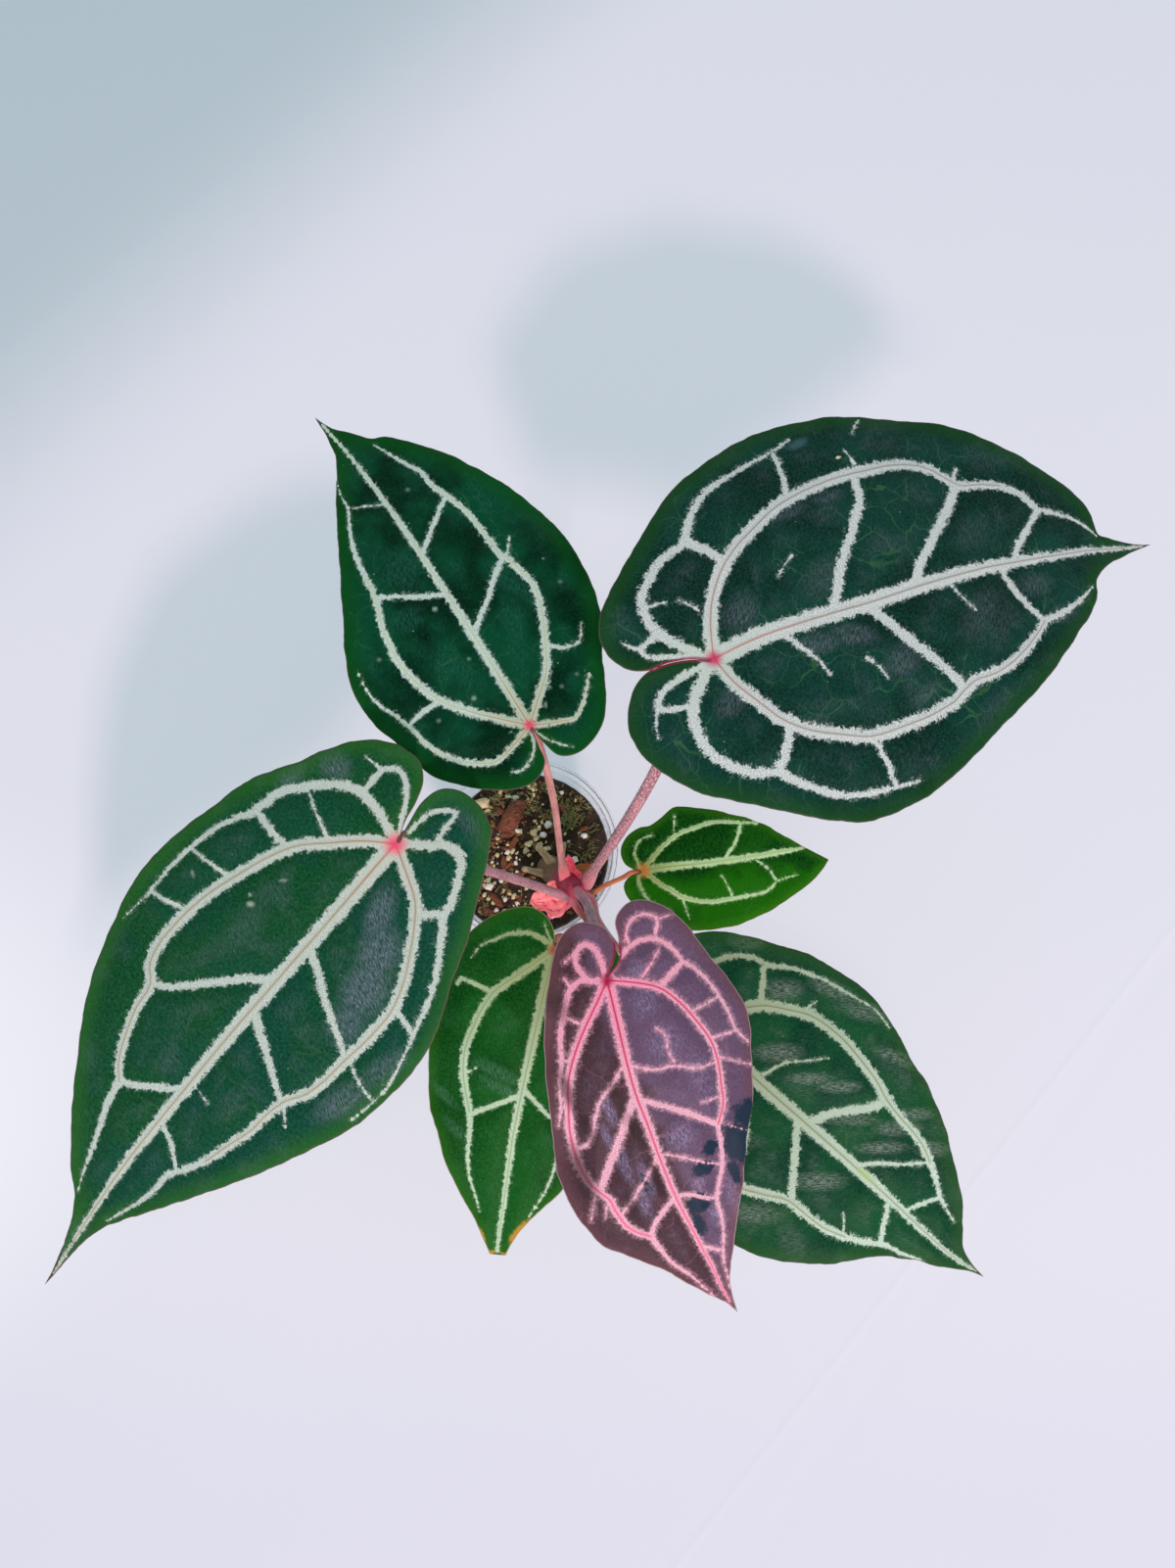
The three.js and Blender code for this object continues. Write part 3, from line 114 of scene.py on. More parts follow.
# Every leaf: where its junction lies and how it is turned, how it is bent, its margin on each side
# of the midrib, its veins with their widths at both ends, and its petiole from the stem upwards.
# mark and worn are soft spots on the blade, and so are the patches of painted sheen where light glances off
# it: x, y, half width, half length, turn and strength.
LEAVES = [
  {
    "name": "upper_left",
    "junction": [5.8, 51.4, 190],
    "heading": -34.1,
    "pitch": -5.9,
    "roll": 2,
    "bend": {
      "length": 214, "width": 62, "arch": 9, "vee": 0.08, "curl": (0.16, 0.16),
      "wave": 1.8, "step": 62, "phase": 0.6,
    },
    "right": [(0, 214), (5, 201), (13, 188), (17, 183), (25, 178), (40, 160), (47, 149), (56, 130),
      (66, 110), (70, 92), (71.5, 68), (68, 42), (60, 24), (51, 10), (40, -9), (30, -20), (14, -25),
      (4, -21), (1, -12), (0, -2)],
    "left": [(0, -2), (-2, -12), (-4, -20), (-13, -25), (-24, -23), (-35, -16), (-46, -5), (-55, 7),
      (-60, 27), (-65, 50), (-64, 66), (-59, 79), (-48, 100), (-38, 119), (-26, 142), (-15, 163),
      (-5, 181), (-1, 198), (0, 214)],
    "veins": [
      (5.5, 1.5, (0, 0), (1.5, 40), (3, 90), (4, 140), (3, 180), (1, 208)),
      (5, 3, (0, 0), (-12, 12), (-22, 23), (-30, 34), (-35, 48), (-37, 62), (-35, 80), (-29, 98),
        (-27, 112)),
      (3, 0.6, (-27, 112), (-25, 125), (-20, 140), (-14, 152), (-13, 162), (-10, 172)),
      (3.5, 2, (0, 0), (-15, -5), (-24, -6), (-33, -1), (-42, 8), (-48, 20), (-50, 31), (-53, 42)),
      (2, 0.6, (-53, 42), (-57, 52), (-58, 62), (-57, 71)),
      (2.6, 2.6, (-33, 35), (-40, 35), (-48, 34)),
      (2, 1.4, (0, -1), (-4, -10), (-9, -15), (-16, -17), (-21, -15)),
      (2.6, 2.6, (2, 81), (-8, 86), (-20, 94), (-28, 99)),
      (0.9, 0.7, (3, 143), (-6, 147), (-12, 150)),
      (4.5, 3.5, (0, 0), (10, 8), (22, 18), (29, 29), (35, 40), (40, 51), (42.5, 62), (41, 71), (39, 81)),
      (3.5, 3, (37, 82), (37, 100), (36, 115), (32, 129), (29, 138)),
      (3, 0.9, (29, 138), (29, 148), (25, 158), (21, 168), (17, 178)),
      (3.5, 1.4, (0, 0), (8, -4), (15, -7), (21, -9), (30, -4), (40, 6)),
      (2.4, 0.7, (31, 29), (37, 24), (45, 23), (52, 31)),
      (2.8, 2.8, (2, 53), (8, 59), (18, 66), (28, 75), (38, 82)),
      (2.2, 2.4, (4, 106), (12, 113), (22, 121), (30, 127)),
      (1.6, 0.5, (40, 82), (47, 90)),
      (1.6, 0.6, (0, -1), (3, -10), (9, -18), (12, -21)),
    ],
    "mark": [(-6.9, 76.3, 1.7, 1.7, 0, 1), (-15.8, 26.1, 1.5, 1.5, 0, 0.8),
      (-6.9, 44.6, 1.1, 1.1, 0, 0.8), (17.3, 142.2, 1.5, 1.5, 0, 0.5), (-44.5, 69.8, 1.2, 1.2, 0, 0.6),
      (-36.6, 26.2, 1.3, 1.3, 0, 0.6), (55, 55.1, 1.2, 1.2, 0, 0.5), (54.6, 69.8, 0.9, 0.9, 0, 0.7),
      (34.4, 8.8, 1.2, 1.2, 0, 0.5), (24.4, 7.3, 1.2, 1.2, 0, 0.6), (18.9, 11.4, 0.9, 2.6, 20, 0.9),
      (12.4, 4.2, 0.9, 2.2, -30, 0.8), (-9.7, 2, 1.1, 0.8, 0, 0.8)],
    "painted_sheen_spots": [(-8.9, 104, 14, 16, 0, 0.5), (35.3, 64, 8, 24, 20, 0.45), (-21, 79, 11, 9, 0, 0.5),
      (-20, 50, 9, 12, 0, 0.3)],
    "petiole": {
      "radius": 2.1, "wing": 0.9, "slender": 0.25,
      "points": [[23, -20, 107], [20.5, -8, 126], [17.5, 16, 158], [13, 35, 178]],
    },
  },
  {
    "name": "upper_right",
    "junction": [93.6, 72.7, 236],
    "heading": 72.7,
    "pitch": -8.8,
    "roll": -2,
    "bend": {
      "length": 236, "width": 92, "arch": 13, "vee": 0.1, "curl": (0.17, 0.17),
      "wave": 2.2, "step": 74, "phase": 0.2,
    },
    "right": [(0, 240), (1.5, 230), (4, 218), (7, 206), (12, 198), (20, 194), (27, 187), (42, 166),
      (56, 145), (69, 120), (83, 92), (91, 72), (93.5, 49), (91, 34), (85, 20), (71, -4), (56, -28),
      (45, -38), (33, -45), (21, -47), (10, -44), (1, -38), (-3.6, -31), (-4.6, -21), (-3, -10),
      (0, -2)],
    "left": [(0, -2), (-3.3, -10), (-4.9, -21), (-4.3, -30), (-8, -39), (-18, -45.5), (-28, -46.5),
      (-37, -43), (-47, -35), (-64, -18), (-78, -3), (-87, 8), (-97, 30), (-105, 50), (-107.5, 66),
      (-104, 87), (-99, 116), (-88, 146), (-71, 169), (-53, 189), (-34, 204.5), (-22, 209.5),
      (-10, 210.5), (-7, 216), (-3, 226), (0, 240)],
    "veins": [
      (9.5, 6.5, (0, 0), (-3, 20), (-4, 50), (-4, 80), (-5.5, 110), (-6, 140)),
      (6.5, 1.4, (-6, 140), (-5, 160), (-4, 180), (-3, 200), (-1, 220), (0, 235)),
      (6.5, 6.5, (0, 0), (-14, 3), (-27, 8), (-40, 17), (-48, 26), (-56, 39), (-63, 52), (-67, 66),
        (-69, 82), (-69, 100)),
      (6.5, 4.5, (-69, 100), (-69, 116), (-66, 128), (-62, 134), (-55, 140), (-50, 145), (-48, 155),
        (-45, 165)),
      (4.5, 1, (-45, 165), (-38, 175), (-30, 180), (-27, 186), (-23, 195), (-18, 202), (-10, 209)),
      (4.6, 4.6, (-46, 18), (-52, 13), (-58, 7)),
      (5, 3.6, (0, -2), (-10, -12), (-20, -20), (-28, -23), (-38, -22), (-48, -15), (-55, -6), (-59, 5),
        (-66, 9)),
      (3.6, 1.4, (-66, 9), (-75, 16), (-82, 26), (-86, 36), (-91, 50), (-94, 62), (-98, 74)),
      (3, 2.4, (-67, 60), (-80, 63), (-93, 64)),
      (3, 1, (-19, -22), (-16, -31), (-21, -37)),
      (2.4, 2.4, (-16, -31), (-10, -27), (-7.5, -18), (-3, -6)),
      (2, 1, (-34, -21), (-33, -12)),
      (1.2, 0.6, (-24, 1), (-32, -7)),
      (4.5, 4, (-6, 60), (-14, 65), (-25, 71), (-36, 79), (-47, 87), (-55, 92), (-66, 94)),
      (4.2, 4.6, (-6, 102), (-14, 107), (-25, 118), (-38, 132), (-49, 142)),
      (2.4, 0.7, (-54, 143), (-60, 148)),
      (3.4, 3, (-5, 156), (-12, 161), (-20, 170), (-29, 181)),
      (1.2, 0.6, (-36, 50), (-32, 44), (-28, 40)),
      (1.4, 0.5, (-98, 110), (-90, 102)),
      (2.2, 0.6, (-71, 98), (-82, 95)),
      (6.5, 6, (0, 0), (14, 5), (26, 12), (38, 20), (46, 30), (52, 43), (57, 57), (57, 72), (56, 86),
        (53, 99)),
      (6, 4, (53, 99), (49, 106), (46, 113), (45, 125), (42, 135), (37, 145), (31, 154), (27, 159)),
      (4, 1.2, (27, 159), (25, 171), (21, 183), (16, 193)),
      (4.2, 4.2, (39, 22), (48, 19), (55, 14), (60, 10)),
      (5.5, 4, (0, 0), (8, -8), (17, -15), (28, -18), (40, -16), (50, -9), (57, 0), (60, 10), (66, 16)),
      (4, 1.4, (66, 16), (72, 24), (78, 34), (81, 46), (82, 58), (83, 72)),
      (2.6, 2.2, (57, 57), (70, 60), (82, 61)),
      (3.6, 2.4, (1, -3), (4, -18), (8, -27), (14, -31), (17, -25), (18, -17)),
      (2, 0.7, (14, -31), (20, -34), (28, -36)),
      (5, 4.5, (-2, 77), (8, 83), (20, 90), (32, 98), (47, 106)),
      (3.2, 2.8, (-4, 148), (8, 150), (18, 154), (28, 159)),
      (2.4, 1.4, (0, 34), (8, 40), (16, 45), (24, 48)),
      (1.6, 0.6, (22, 66), (28, 70), (34, 72)),
      (1.2, 0.5, (-3, 119), (6, 122), (14, 126)),
    ],
    "mark": [(-93.5, 75.8, 3.6, 6.4, 8, 0.6)],
    "worn": [(-79.1, 90.5, 0.9, 1.4, 0, 1)],
    "painted_sheen_spots": [(8.2, 48.3, 7, 12, -10, 0.7), (9, 64, 7, 14, -20, 0.8), (27.8, 82.3, 10, 14, 30, 0.65),
      (45.7, 86.4, 5, 12, 20, 0.5), (22.1, 1.3, 8, 12, 30, 0.7), (43.9, 28.4, 5, 14, 10, 0.4),
      (-59.4, 55.2, 6, 14, 0, 0.75), (-60.3, 77.3, 5, 10, 0, 0.6), (-16.8, 17.8, 10, 12, 40, 0.6),
      (15.6, 127.6, 10, 20, 40, 0.45), (8.3, 161.3, 8, 12, 0, 0.5), (26, 171.7, 6, 12, 0, 0.5),
      (-22, 60, 10, 16, 30, 0.4), (62, 118, 8, 20, 30, 0.3)],
    "petiole": {
      "radius": 3.2, "wing": 0.5, "slender": 0.3,
      "points": [[33.5, -21.5, 110], [39, -14, 130], [55, 6, 172], [70, 30, 204]],
    },
  },
  {
    "name": "left",
    "junction": [-56.7, -10.6, 208],
    "heading": -140.3,
    "pitch": -11.6,
    "roll": 3,
    "bend": {
      "length": 278, "width": 92, "arch": 17, "vee": 0.1, "curl": (0.17, 0.17),
      "wave": 2, "step": 80, "phase": 1.9,
    },
    "right": [(0, 280), (2, 267), (4.5, 254), (8, 241), (12.5, 232), (22, 221), (39, 198), (57, 170),
      (73, 142), (83, 118), (88, 96), (88, 78), (86, 61), (83, 45), (78, 25), (71, 12), (63, 0),
      (58, -11), (51, -22), (41, -32), (29, -36.5), (19, -37), (10.5, -31), (6.5, -22), (4, -11),
      (0, -2)],
    "left": [(0, -2), (2, -11), (4, -23), (1.5, -33), (-6, -38), (-19, -39), (-29, -35), (-36, -27),
      (-43, -15), (-49, -3), (-56, 10), (-62, 26), (-70, 43), (-75, 59), (-76.5, 76), (-75, 93),
      (-72, 109), (-66, 124), (-56, 146), (-37, 181), (-18, 213), (-9, 229), (-5, 241), (-2, 258),
      (0, 280)],
    "veins": [
      (9, 6.5, (0, 0), (-0.5, 40), (0, 80), (1, 120), (1.5, 150)),
      (6.5, 1.2, (1.5, 150), (2.5, 200), (1.5, 235), (0, 272)),
      (6, 5.5, (0, 0), (-14, 7), (-26, 14), (-33, 22), (-41, 34), (-47, 45), (-51, 58), (-51, 74),
        (-49, 90), (-48, 102)),
      (5.5, 4, (-48, 102), (-45, 113), (-40, 121), (-37, 132), (-36, 142), (-32, 155), (-28, 169)),
      (4, 0.9, (-28, 169), (-22, 180), (-18, 186), (-16, 202), (-11, 217), (-7, 228)),
      (4.2, 4.2, (-29, 18), (-34, 15), (-40, 10)),
      (4.5, 3.6, (0, -1), (-11, -8), (-20, -15), (-28, -15), (-34, -7), (-39, 3), (-41, 11), (-46, 18)),
      (3.6, 2, (-46, 18), (-55, 31), (-61, 43), (-65, 57)),
      (2, 0.7, (-65, 57), (-69, 71), (-72, 86), (-71, 98), (-69, 108)),
      (2.8, 2, (-14, -14), (-13, -22), (-12, -29), (-6, -26), (-2, -19), (-1, -8)),
      (3, 2.2, (-52, 57), (-58, 58), (-65, 60)),
      (4.4, 2.4, (-3, 62), (-14, 68), (-26, 76), (-38, 82), (-48, 88)),
      (4.4, 2.6, (-2, 101), (-10, 106), (-22, 113), (-38, 123)),
      (1.6, 0.6, (-40, 123), (-48, 130)),
      (2.8, 1.8, (1, 171), (-8, 174), (-20, 183)),
      (1.6, 1, (-50, 88), (-60, 92), (-70, 95)),
      (1, 0.6, (0, 146), (-12, 147)),
      (6, 6.5, (0, 0), (12, 8), (24, 19), (36, 31), (43, 44), (48, 58), (53, 74), (56, 90), (57, 106)),
      (6.5, 4, (57, 106), (54, 118), (47, 125), (45, 138), (41, 150), (35, 163), (29, 170)),
      (4, 0.9, (29, 170), (28, 180), (24, 193), (20, 205), (17, 217), (13.5, 228)),
      (3.6, 3.6, (38, 34), (46, 34), (54, 33), (63, 31)),
      (4.2, 4.6, (0, 0), (12, -5), (24, -7.5), (34, -7), (44, -1), (54, 9), (61, 18), (63, 28), (65, 34)),
      (3, 1.6, (65, 34), (71, 44), (75, 57), (77, 71), (78, 85), (78, 96)),
      (1, 0.6, (78, 96), (80, 112)),
      (2, 1.8, (57, 87), (66, 90), (77, 93)),
      (1.8, 1.6, (51, 62), (62, 63), (75, 65)),
      (1.4, 1.2, (26, 19), (36, 14), (49, 8)),
      (2.2, 3, (2, -5), (7, -12), (10, -18), (17, -25), (24, -27), (29, -23), (29, -9)),
      (2, 0.6, (30, -22), (40, -22)),
      (4, 3, (2, 84), (12, 92), (24, 104), (36, 117), (47, 125)),
      (3.2, 3, (2, 151), (10, 157), (18, 163), (29, 170)),
    ],
    "mark": [(33.2, 63.9, 2.6, 1.6, 30, 0.5), (28.8, 45.9, 0.8, 3, -50, 0.35),
      (65.6, 72.1, 1, 2.5, 60, 0.35), (36.5, 61, 1, 1, 0, 0.6)],
    "worn": [(0, 274, 3, 12, 0, 0.7)],
    "painted_sheen_spots": [(-17, 28, 9, 17, 25, 1), (-29, 42, 13, 18, 25, 1), (-35, 58, 14, 18, 10, 1),
      (-38, 76, 11, 14, 0, 0.8), (-60, 104, 9, 18, -20, 0.8), (-66, 80, 8, 18, -15, 0.6),
      (48.6, -9.8, 12, 9, 0, 0.7), (61.4, 7.5, 7, 14, 0, 0.6), (28, 74, 10, 20, 0, 0.3),
      (2, 250, 9, 18, 0, 0.5), (-20, -30, 12, 6, 0, 0.5)],
    "petiole": {
      "radius": 2.7, "wing": 0.1,
      "points": [[23, -28, 110], [14, -26, 130], [-16, -19, 166], [-42, -14, 194]],
    },
  },
  {
    "name": "right_small",
    "junction": [65.3, -14.7, 124],
    "heading": 86.7,
    "pitch": -5.5,
    "roll": -3,
    "bend": {
      "length": 103.5, "width": 32, "arch": 5, "vee": 0.1, "curl": (0.14, 0.14),
      "wave": 1.2, "step": 38, "phase": 0.9,
    },
    "right": [(-1, 104), (4, 100), (12, 91), (20, 78), (26, 67), (31, 55), (34, 42), (34.5, 28),
      (32, 14), (26, 2), (19, -6), (12, -10.5), (7, -11), (3, -8), (0.6, -2)],
    "left": [(0.6, -2), (-1.4, -6), (-4, -9.5), (-9, -11.5), (-14, -11), (-20, -7), (-24, 0), (-24.5, 5),
      (-28, 11), (-34, 19), (-34, 27), (-32, 38), (-28, 51), (-23, 66), (-15, 79), (-8, 91), (-1, 104)],
    "veins": [
      (4.6, 3, (0, 0), (-1, 15), (-1.5, 30), (-2.5, 45), (-4, 60), (-6, 75)),
      (3, 1.4, (-6, 75), (-8, 90)),
      (2.8, 1.8, (0, 0), (-6, 5), (-12, 11), (-18, 19), (-22, 30), (-24.5, 42), (-23.5, 52), (-23, 64)),
      (1.8, 1.8, (-4, 45), (-8, 48), (-14, 52), (-22, 55)),
      (2.8, 2.2, (0, 0), (6, 6), (12, 14), (17, 22), (19.5, 35), (18.5, 46)),
      (2.2, 0.6, (18.5, 46), (17, 58), (15, 67), (10, 73), (8, 80), (7, 85)),
      (1.2, 1.2, (-2, 62), (2, 67), (9, 72)),
      (1.2, 0.4, (18, 47), (12, 45), (6, 42)),
      (2, 0.8, (0, -1), (-5, -3), (-10, -4), (-15, -2), (-18, 1), (-19, 6)),
      (2.2, 1, (0, -1), (5, -3), (9, -2), (14, 0), (20, 6), (23, 13)),
      (1.1, 0.5, (17, 20), (22, 21), (28, 23)),
      (0.9, 0.5, (-21, 18), (-29, 19)),
    ],
    "painted_sheen_spots": [(15, 60, 5, 14, 0, 0.3)],
    "petiole": {
      "radius": 1.5, "wing": 0.6,
      "points": [[26, -20.5, 98], [35, -25.5, 101], [45, -21.5, 111], [55, -17.5, 117]],
    },
  },
  {
    "name": "lower_middle",
    "junction": [17.5, -58.5, 148],
    "heading": -169.6,
    "pitch": -11.3,
    "roll": 2,
    "bend": {
      "length": 163, "width": 44, "arch": 7, "vee": 0.08, "curl": (0.16, 0.16),
      "wave": 1.4, "step": 50, "phase": 0.3,
    },
    "right": [(5, 163), (9, 156), (17, 144), (28, 130), (36, 119), (42, 106), (50, 91), (54, 72),
      (55.5, 52), (55, 32), (52, 12), (46, 0), (38, -9), (28, -16), (17, -19.5), (8, -17), (2.5, -11),
      (0, -3)],
    "left": [(0, -3), (-3, -8), (-8, -13), (-16, -15), (-25, -12), (-34, -3), (-39, 9), (-41, 24),
      (-42, 42), (-41, 60), (-38, 78), (-34, 97), (-27, 119), (-20, 130), (-12, 141), (-6, 153),
      (-3, 163)],
    "veins": [
      (6.2, 3.6, (0, 0), (1, 20), (2, 45), (3, 75), (3.5, 100)),
      (3.6, 1.8, (3.5, 100), (2.5, 125), (2, 150), (1.5, 161)),
      (4.5, 4, (0, 0), (8, 8), (17, 17), (26, 26), (31, 36), (34, 47), (36, 58), (35, 70), (32, 80),
        (28, 90)),
      (3, 0.7, (28, 90), (26, 100), (25, 112), (22, 124), (18, 132), (14, 141)),
      (2.4, 1.8, (29, 27), (38, 25), (45, 24), (47, 27)),
      (2.8, 2.4, (3, 76), (10, 80), (18, 85), (27, 91)),
      (2, 0.9, (34, 71), (29, 67)),
      (3.2, 1.4, (0, -1), (6, -4), (14, -6), (24, -4), (32, 1)),
      (1.4, 0.6, (32, 1), (38, 5), (42, 12)),
      (1.6, 0.6, (1, -2), (5, -8), (8, -13)),
      (2.4, 1.8, (2, 73), (-5, 78), (-14, 84), (-24, 87)),
      (4.5, 3, (0, 0), (-8, 9), (-16, 18), (-23, 29), (-28, 42), (-29, 58), (-28, 72), (-25, 87)),
      (2.2, 0.7, (-25, 87), (-21, 104), (-20, 114), (-18, 123), (-12, 138)),
      (2.6, 0.8, (0, -1), (-7, -5), (-16, -5), (-25, 0), (-30, 8)),
      (2, 1, (-24, 30), (-31, 29), (-35, 35)),
    ],
    "worn": [(12, 152.5, 2.6, 8, 38, 1.2), (-8.5, 147, 3.4, 11, -30, 1.3), (1, 163, 9, 3.5, 0, 1.2)],
    "painted_sheen_spots": [(18, 66, 5, 18, 75, 0.8), (14, 74, 4, 18, 75, 0.8), (44, 84, 4, 14, 60, 0.7),
      (34, 100, 4, 12, 60, 0.6)],
    "petiole": {
      "radius": 1.8, "wing": 0.4,
      "points": [[24, -24.5, 102], [29.5, -34.5, 107], [34.5, -43, 121], [30, -53, 137]],
    },
  },
  {
    "name": "new_purple",
    "junction": [44.3, -74.4, 184],
    "heading": 158.1,
    "pitch": -17.5,
    "roll": -5,
    "bend": {
      "length": 186.5, "width": 58, "arch": 11, "vee": 0.1, "curl": (0.2, 0.34),
      "wave": 1.6, "step": 55, "phase": 2.6,
    },
    "right": [(0, 187.5), (4, 179), (11, 170), (19, 158), (27, 146), (35, 138), (44, 130), (50, 124),
      (54, 114), (57, 103), (58, 92), (57.5, 82), (55, 70), (52, 58), (49.5, 47), (45, 32), (40.5, 19),
      (36, 8), (31.5, -2), (26, -11), (21, -19), (15.5, -25.5), (9, -29.5), (2.5, -30.5), (-4, -28),
      (-9, -23), (-10.6, -16), (-7.6, -8), (-1, -2)],
    "left": [(-1, -2), (-9.4, -7), (-12.8, -16), (-14.5, -24), (-18.5, -28), (-24, -30), (-30.5, -29),
      (-38, -24), (-43.5, -17), (-47, -10), (-49.5, -1), (-52.5, 10), (-55.5, 20), (-58.5, 31),
      (-59.3, 41), (-57.5, 52), (-53, 63), (-48.5, 75), (-43, 86), (-36, 96), (-31, 107), (-26, 118),
      (-19, 130), (-13.5, 141), (-9, 150), (-4.5, 160), (-1.5, 170), (0, 187.5)],
    "veins": [
      (6, 3.6, (0, 0), (3.5, 21), (6.5, 39), (8.3, 55), (8.5, 71), (9, 88), (9, 104)),
      (3.6, 1.4, (9, 104), (8.3, 117), (6.7, 131), (5.5, 144), (4.2, 154), (3.4, 168), (1.8, 180)),
      (3.5, 3.2, (0, 0), (-10, 5), (-22, 13), (-29, 24), (-33, 35), (-36, 47), (-35.5, 58), (-33, 68),
        (-30, 78), (-24, 86)),
      (2.5, 1.7, (-24, 86), (-21.5, 97), (-19, 105), (-13.5, 115), (-10, 122), (-9, 133)),
      (1.7, 0.6, (-9, 133), (-6.3, 142), (-3, 152), (-2, 160), (-0.5, 172)),
      (2.9, 2.8, (-25, 12), (-38, 7)),
      (2.5, 1.8, (0, 0), (-5, -4), (-14, -9.5), (-23, -11), (-31, -8), (-36, -1), (-38.5, 7)),
      (2, 1.1, (-38.5, 7), (-43.5, 14), (-47.5, 25), (-49.5, 37), (-50, 47), (-54, 57)),
      (1.1, 1, (-33, 30), (-41, 29.5), (-48, 29)),
      (1, 0.9, (-35.5, 46), (-43, 47), (-50, 48)),
      (0.7, 0.5, (-36, 55), (-44, 62), (-52, 68)),
      (1.1, 1, (-16.8, 5), (-30, -4)),
      (1.7, 1.1, (-31, -11), (-34.5, -17.5), (-29, -22), (-21.6, -21.6), (-17.5, -17), (-16.8, -11)),
      (0.8, 0.5, (-34.5, -17), (-44, -16)),
      (1, 0.7, (-17, -17), (-13.5, -10)),
      (1.3, 1.1, (4.2, 42.5), (-5.5, 48), (-13.5, 49.5), (-23, 55), (-34, 58)),
      (0.8, 0.6, (-15, 48.7), (-14.3, 41), (-16, 35), (-12.7, 29)),
      (2.5, 2.5, (7.5, 58.4), (-0.6, 65), (-12, 74.6), (-20, 82.6), (-24, 86.5)),
      (0.7, 0.5, (-30, 74), (-20, 72)),
      (1.1, 1.1, (7.5, 88), (0, 92.3), (-8.7, 99), (-17, 105)),
      (2, 2, (8, 111), (0, 114), (-6, 119), (-10, 121)),
      (2, 1.7, (5.5, 142), (-2, 148)),
      (0.7, 0.5, (-28, 88), (-37, 96)),
      (4.6, 4.2, (0, 0), (9, 8), (17, 15), (25, 23), (31.5, 31), (36.5, 39), (40.6, 50), (43.8, 60),
        (45.5, 70)),
      (4.2, 3.7, (45.5, 70), (46, 79), (45, 88), (42, 95), (39, 100), (38, 108), (35.7, 117), (31, 123),
        (27, 126)),
      (2.6, 0.8, (27, 126), (25, 134), (22, 144), (18, 151), (14.7, 157), (11.5, 165), (7.5, 174)),
      (1.6, 1.5, (10, 41), (17, 46), (25, 51), (31.7, 60), (35, 66), (39, 70), (45, 72)),
      (3.3, 3.3, (9.5, 56.5), (15.5, 63), (23.6, 73), (31.7, 82.6), (41, 94)),
      (1.4, 1.3, (10, 89), (17, 94), (27, 102), (36.5, 110)),
      (2.2, 2.4, (9, 111), (17, 116), (23, 120.6), (27, 126)),
      (0.9, 0.6, (39.8, 100), (44, 109)),
      (0.9, 0.6, (44.6, 96), (51, 108)),
      (2.9, 2.2, (0, 0), (6, -2), (12.3, -5), (19, -2), (25, 6), (31, 16), (35, 28)),
      (2.2, 1.1, (35, 28), (40, 37.5), (44, 49), (48, 57)),
      (1.5, 1.5, (19.6, 15), (25, 9)),
      (1.8, 1.8, (31.5, 29), (36, 27.5)),
      (2.8, 2.4, (0, -3), (-1, -11), (0, -17), (4, -19.5), (9, -17.5), (11, -11), (9, -5)),
      (1.5, 0.6, (9, -18), (16, -15.5)),
      (1.3, 0.6, (18, -4), (19, -9)),
    ],
    "mark": [(38, 42, 4, 16, 0, 0.7), (18, 54, 4, 16, 0, 0.6), (46, 84, 6, 22, 0, 0.8),
      (15, 72, 3.5, 12, 0, 0.7), (27, 2, 7, 12, 0, 0.6), (14, 99, 3, 14, 0, 0.7),
      (36, 62, 4, 12, 0, 0.7), (30, 106, 3, 14, 0, 0.6)],
    "worn": [(-31, 99, 13, 15, 0, 1.3), (-40, 88, 12, 10, 0, 1.2), (-16, 95, 6, 5, 0, 1.3),
      (-9, 103, 8, 5, 0, 1.3), (-1, 119, 8, 7, 0, 1.3), (3, 130, 5, 9, 0, 1.1),
      (-23, 112, 4, 10, 0, 1.1), (20, 98, 3, 8, 0, 0.7)],
    "painted_sheen_spots": [(23, 57, 4, 12, 0, 0.9), (26, 83, 4, 16, 0, 0.9), (24, 107, 4, 12, 0, 0.9),
      (29, 68, 3, 10, 0, 0.8), (-4, 83, 11, 9, 0, 0.9), (-4, 109, 5, 5, 0, 1), (-6, 129, 4, 8, 0, 1),
      (-19, 126, 5, 14, 0, 1), (19, 96, 4, 14, 0, 0.8), (-13, 16, 9, 9, 0, 0.7), (-16, 0, 6, 6, 0, 0.7),
      (-24, 60, 8, 20, 0, 0.5), (-14, 38, 12, 14, 0, 0.6)],
    "petiole": {
      "radius": 3.1, "wing": 0.1, "slender": 0.3,
      "points": [[28.5, -24, 115.5], [35, -35, 140], [38, -49, 160]],
    },
  },
  {
    "name": "lower_right",
    "junction": [81, -82, 138],
    "heading": 131.9,
    "pitch": -7,
    "roll": 2,
    "bend": {
      "length": 217, "width": 62, "arch": 8, "vee": 0.08, "curl": (0.15, 0.15),
      "wave": 1.8, "step": 64, "phase": 1.2,
    },
    "right": [(0, 219), (3, 211), (8, 202), (14, 191), (20, 180), (27, 169), (38, 159), (48, 151),
      (58, 139), (68, 124), (74, 111), (76, 96), (74, 78), (70, 58), (64, 38), (56, 18), (46, 2),
      (35, -11), (24, -18), (14, -20), (6, -15), (2, -3)],
    "left": [(2, -3), (-2, -16), (-11, -21), (-22, -19.5), (-31, -14), (-38, -8), (-47, 4), (-53, 16),
      (-58, 26), (-63.5, 38), (-66.5, 50), (-69.6, 70), (-68.7, 82), (-65.6, 94), (-61.6, 106),
      (-58, 116), (-55.6, 127), (-50, 138), (-44.6, 149), (-37, 160), (-29, 172), (-20, 184), (-12, 192),
      (-5, 198), (-2.5, 203), (-0.7, 211), (0, 219)],
    "veins": [
      (8, 6.5, (2, 0), (3, 30), (4, 60), (3.5, 90), (3, 120)),
      (6.5, 1.4, (3, 120), (3, 150), (3.5, 180), (3, 200), (0.5, 214)),
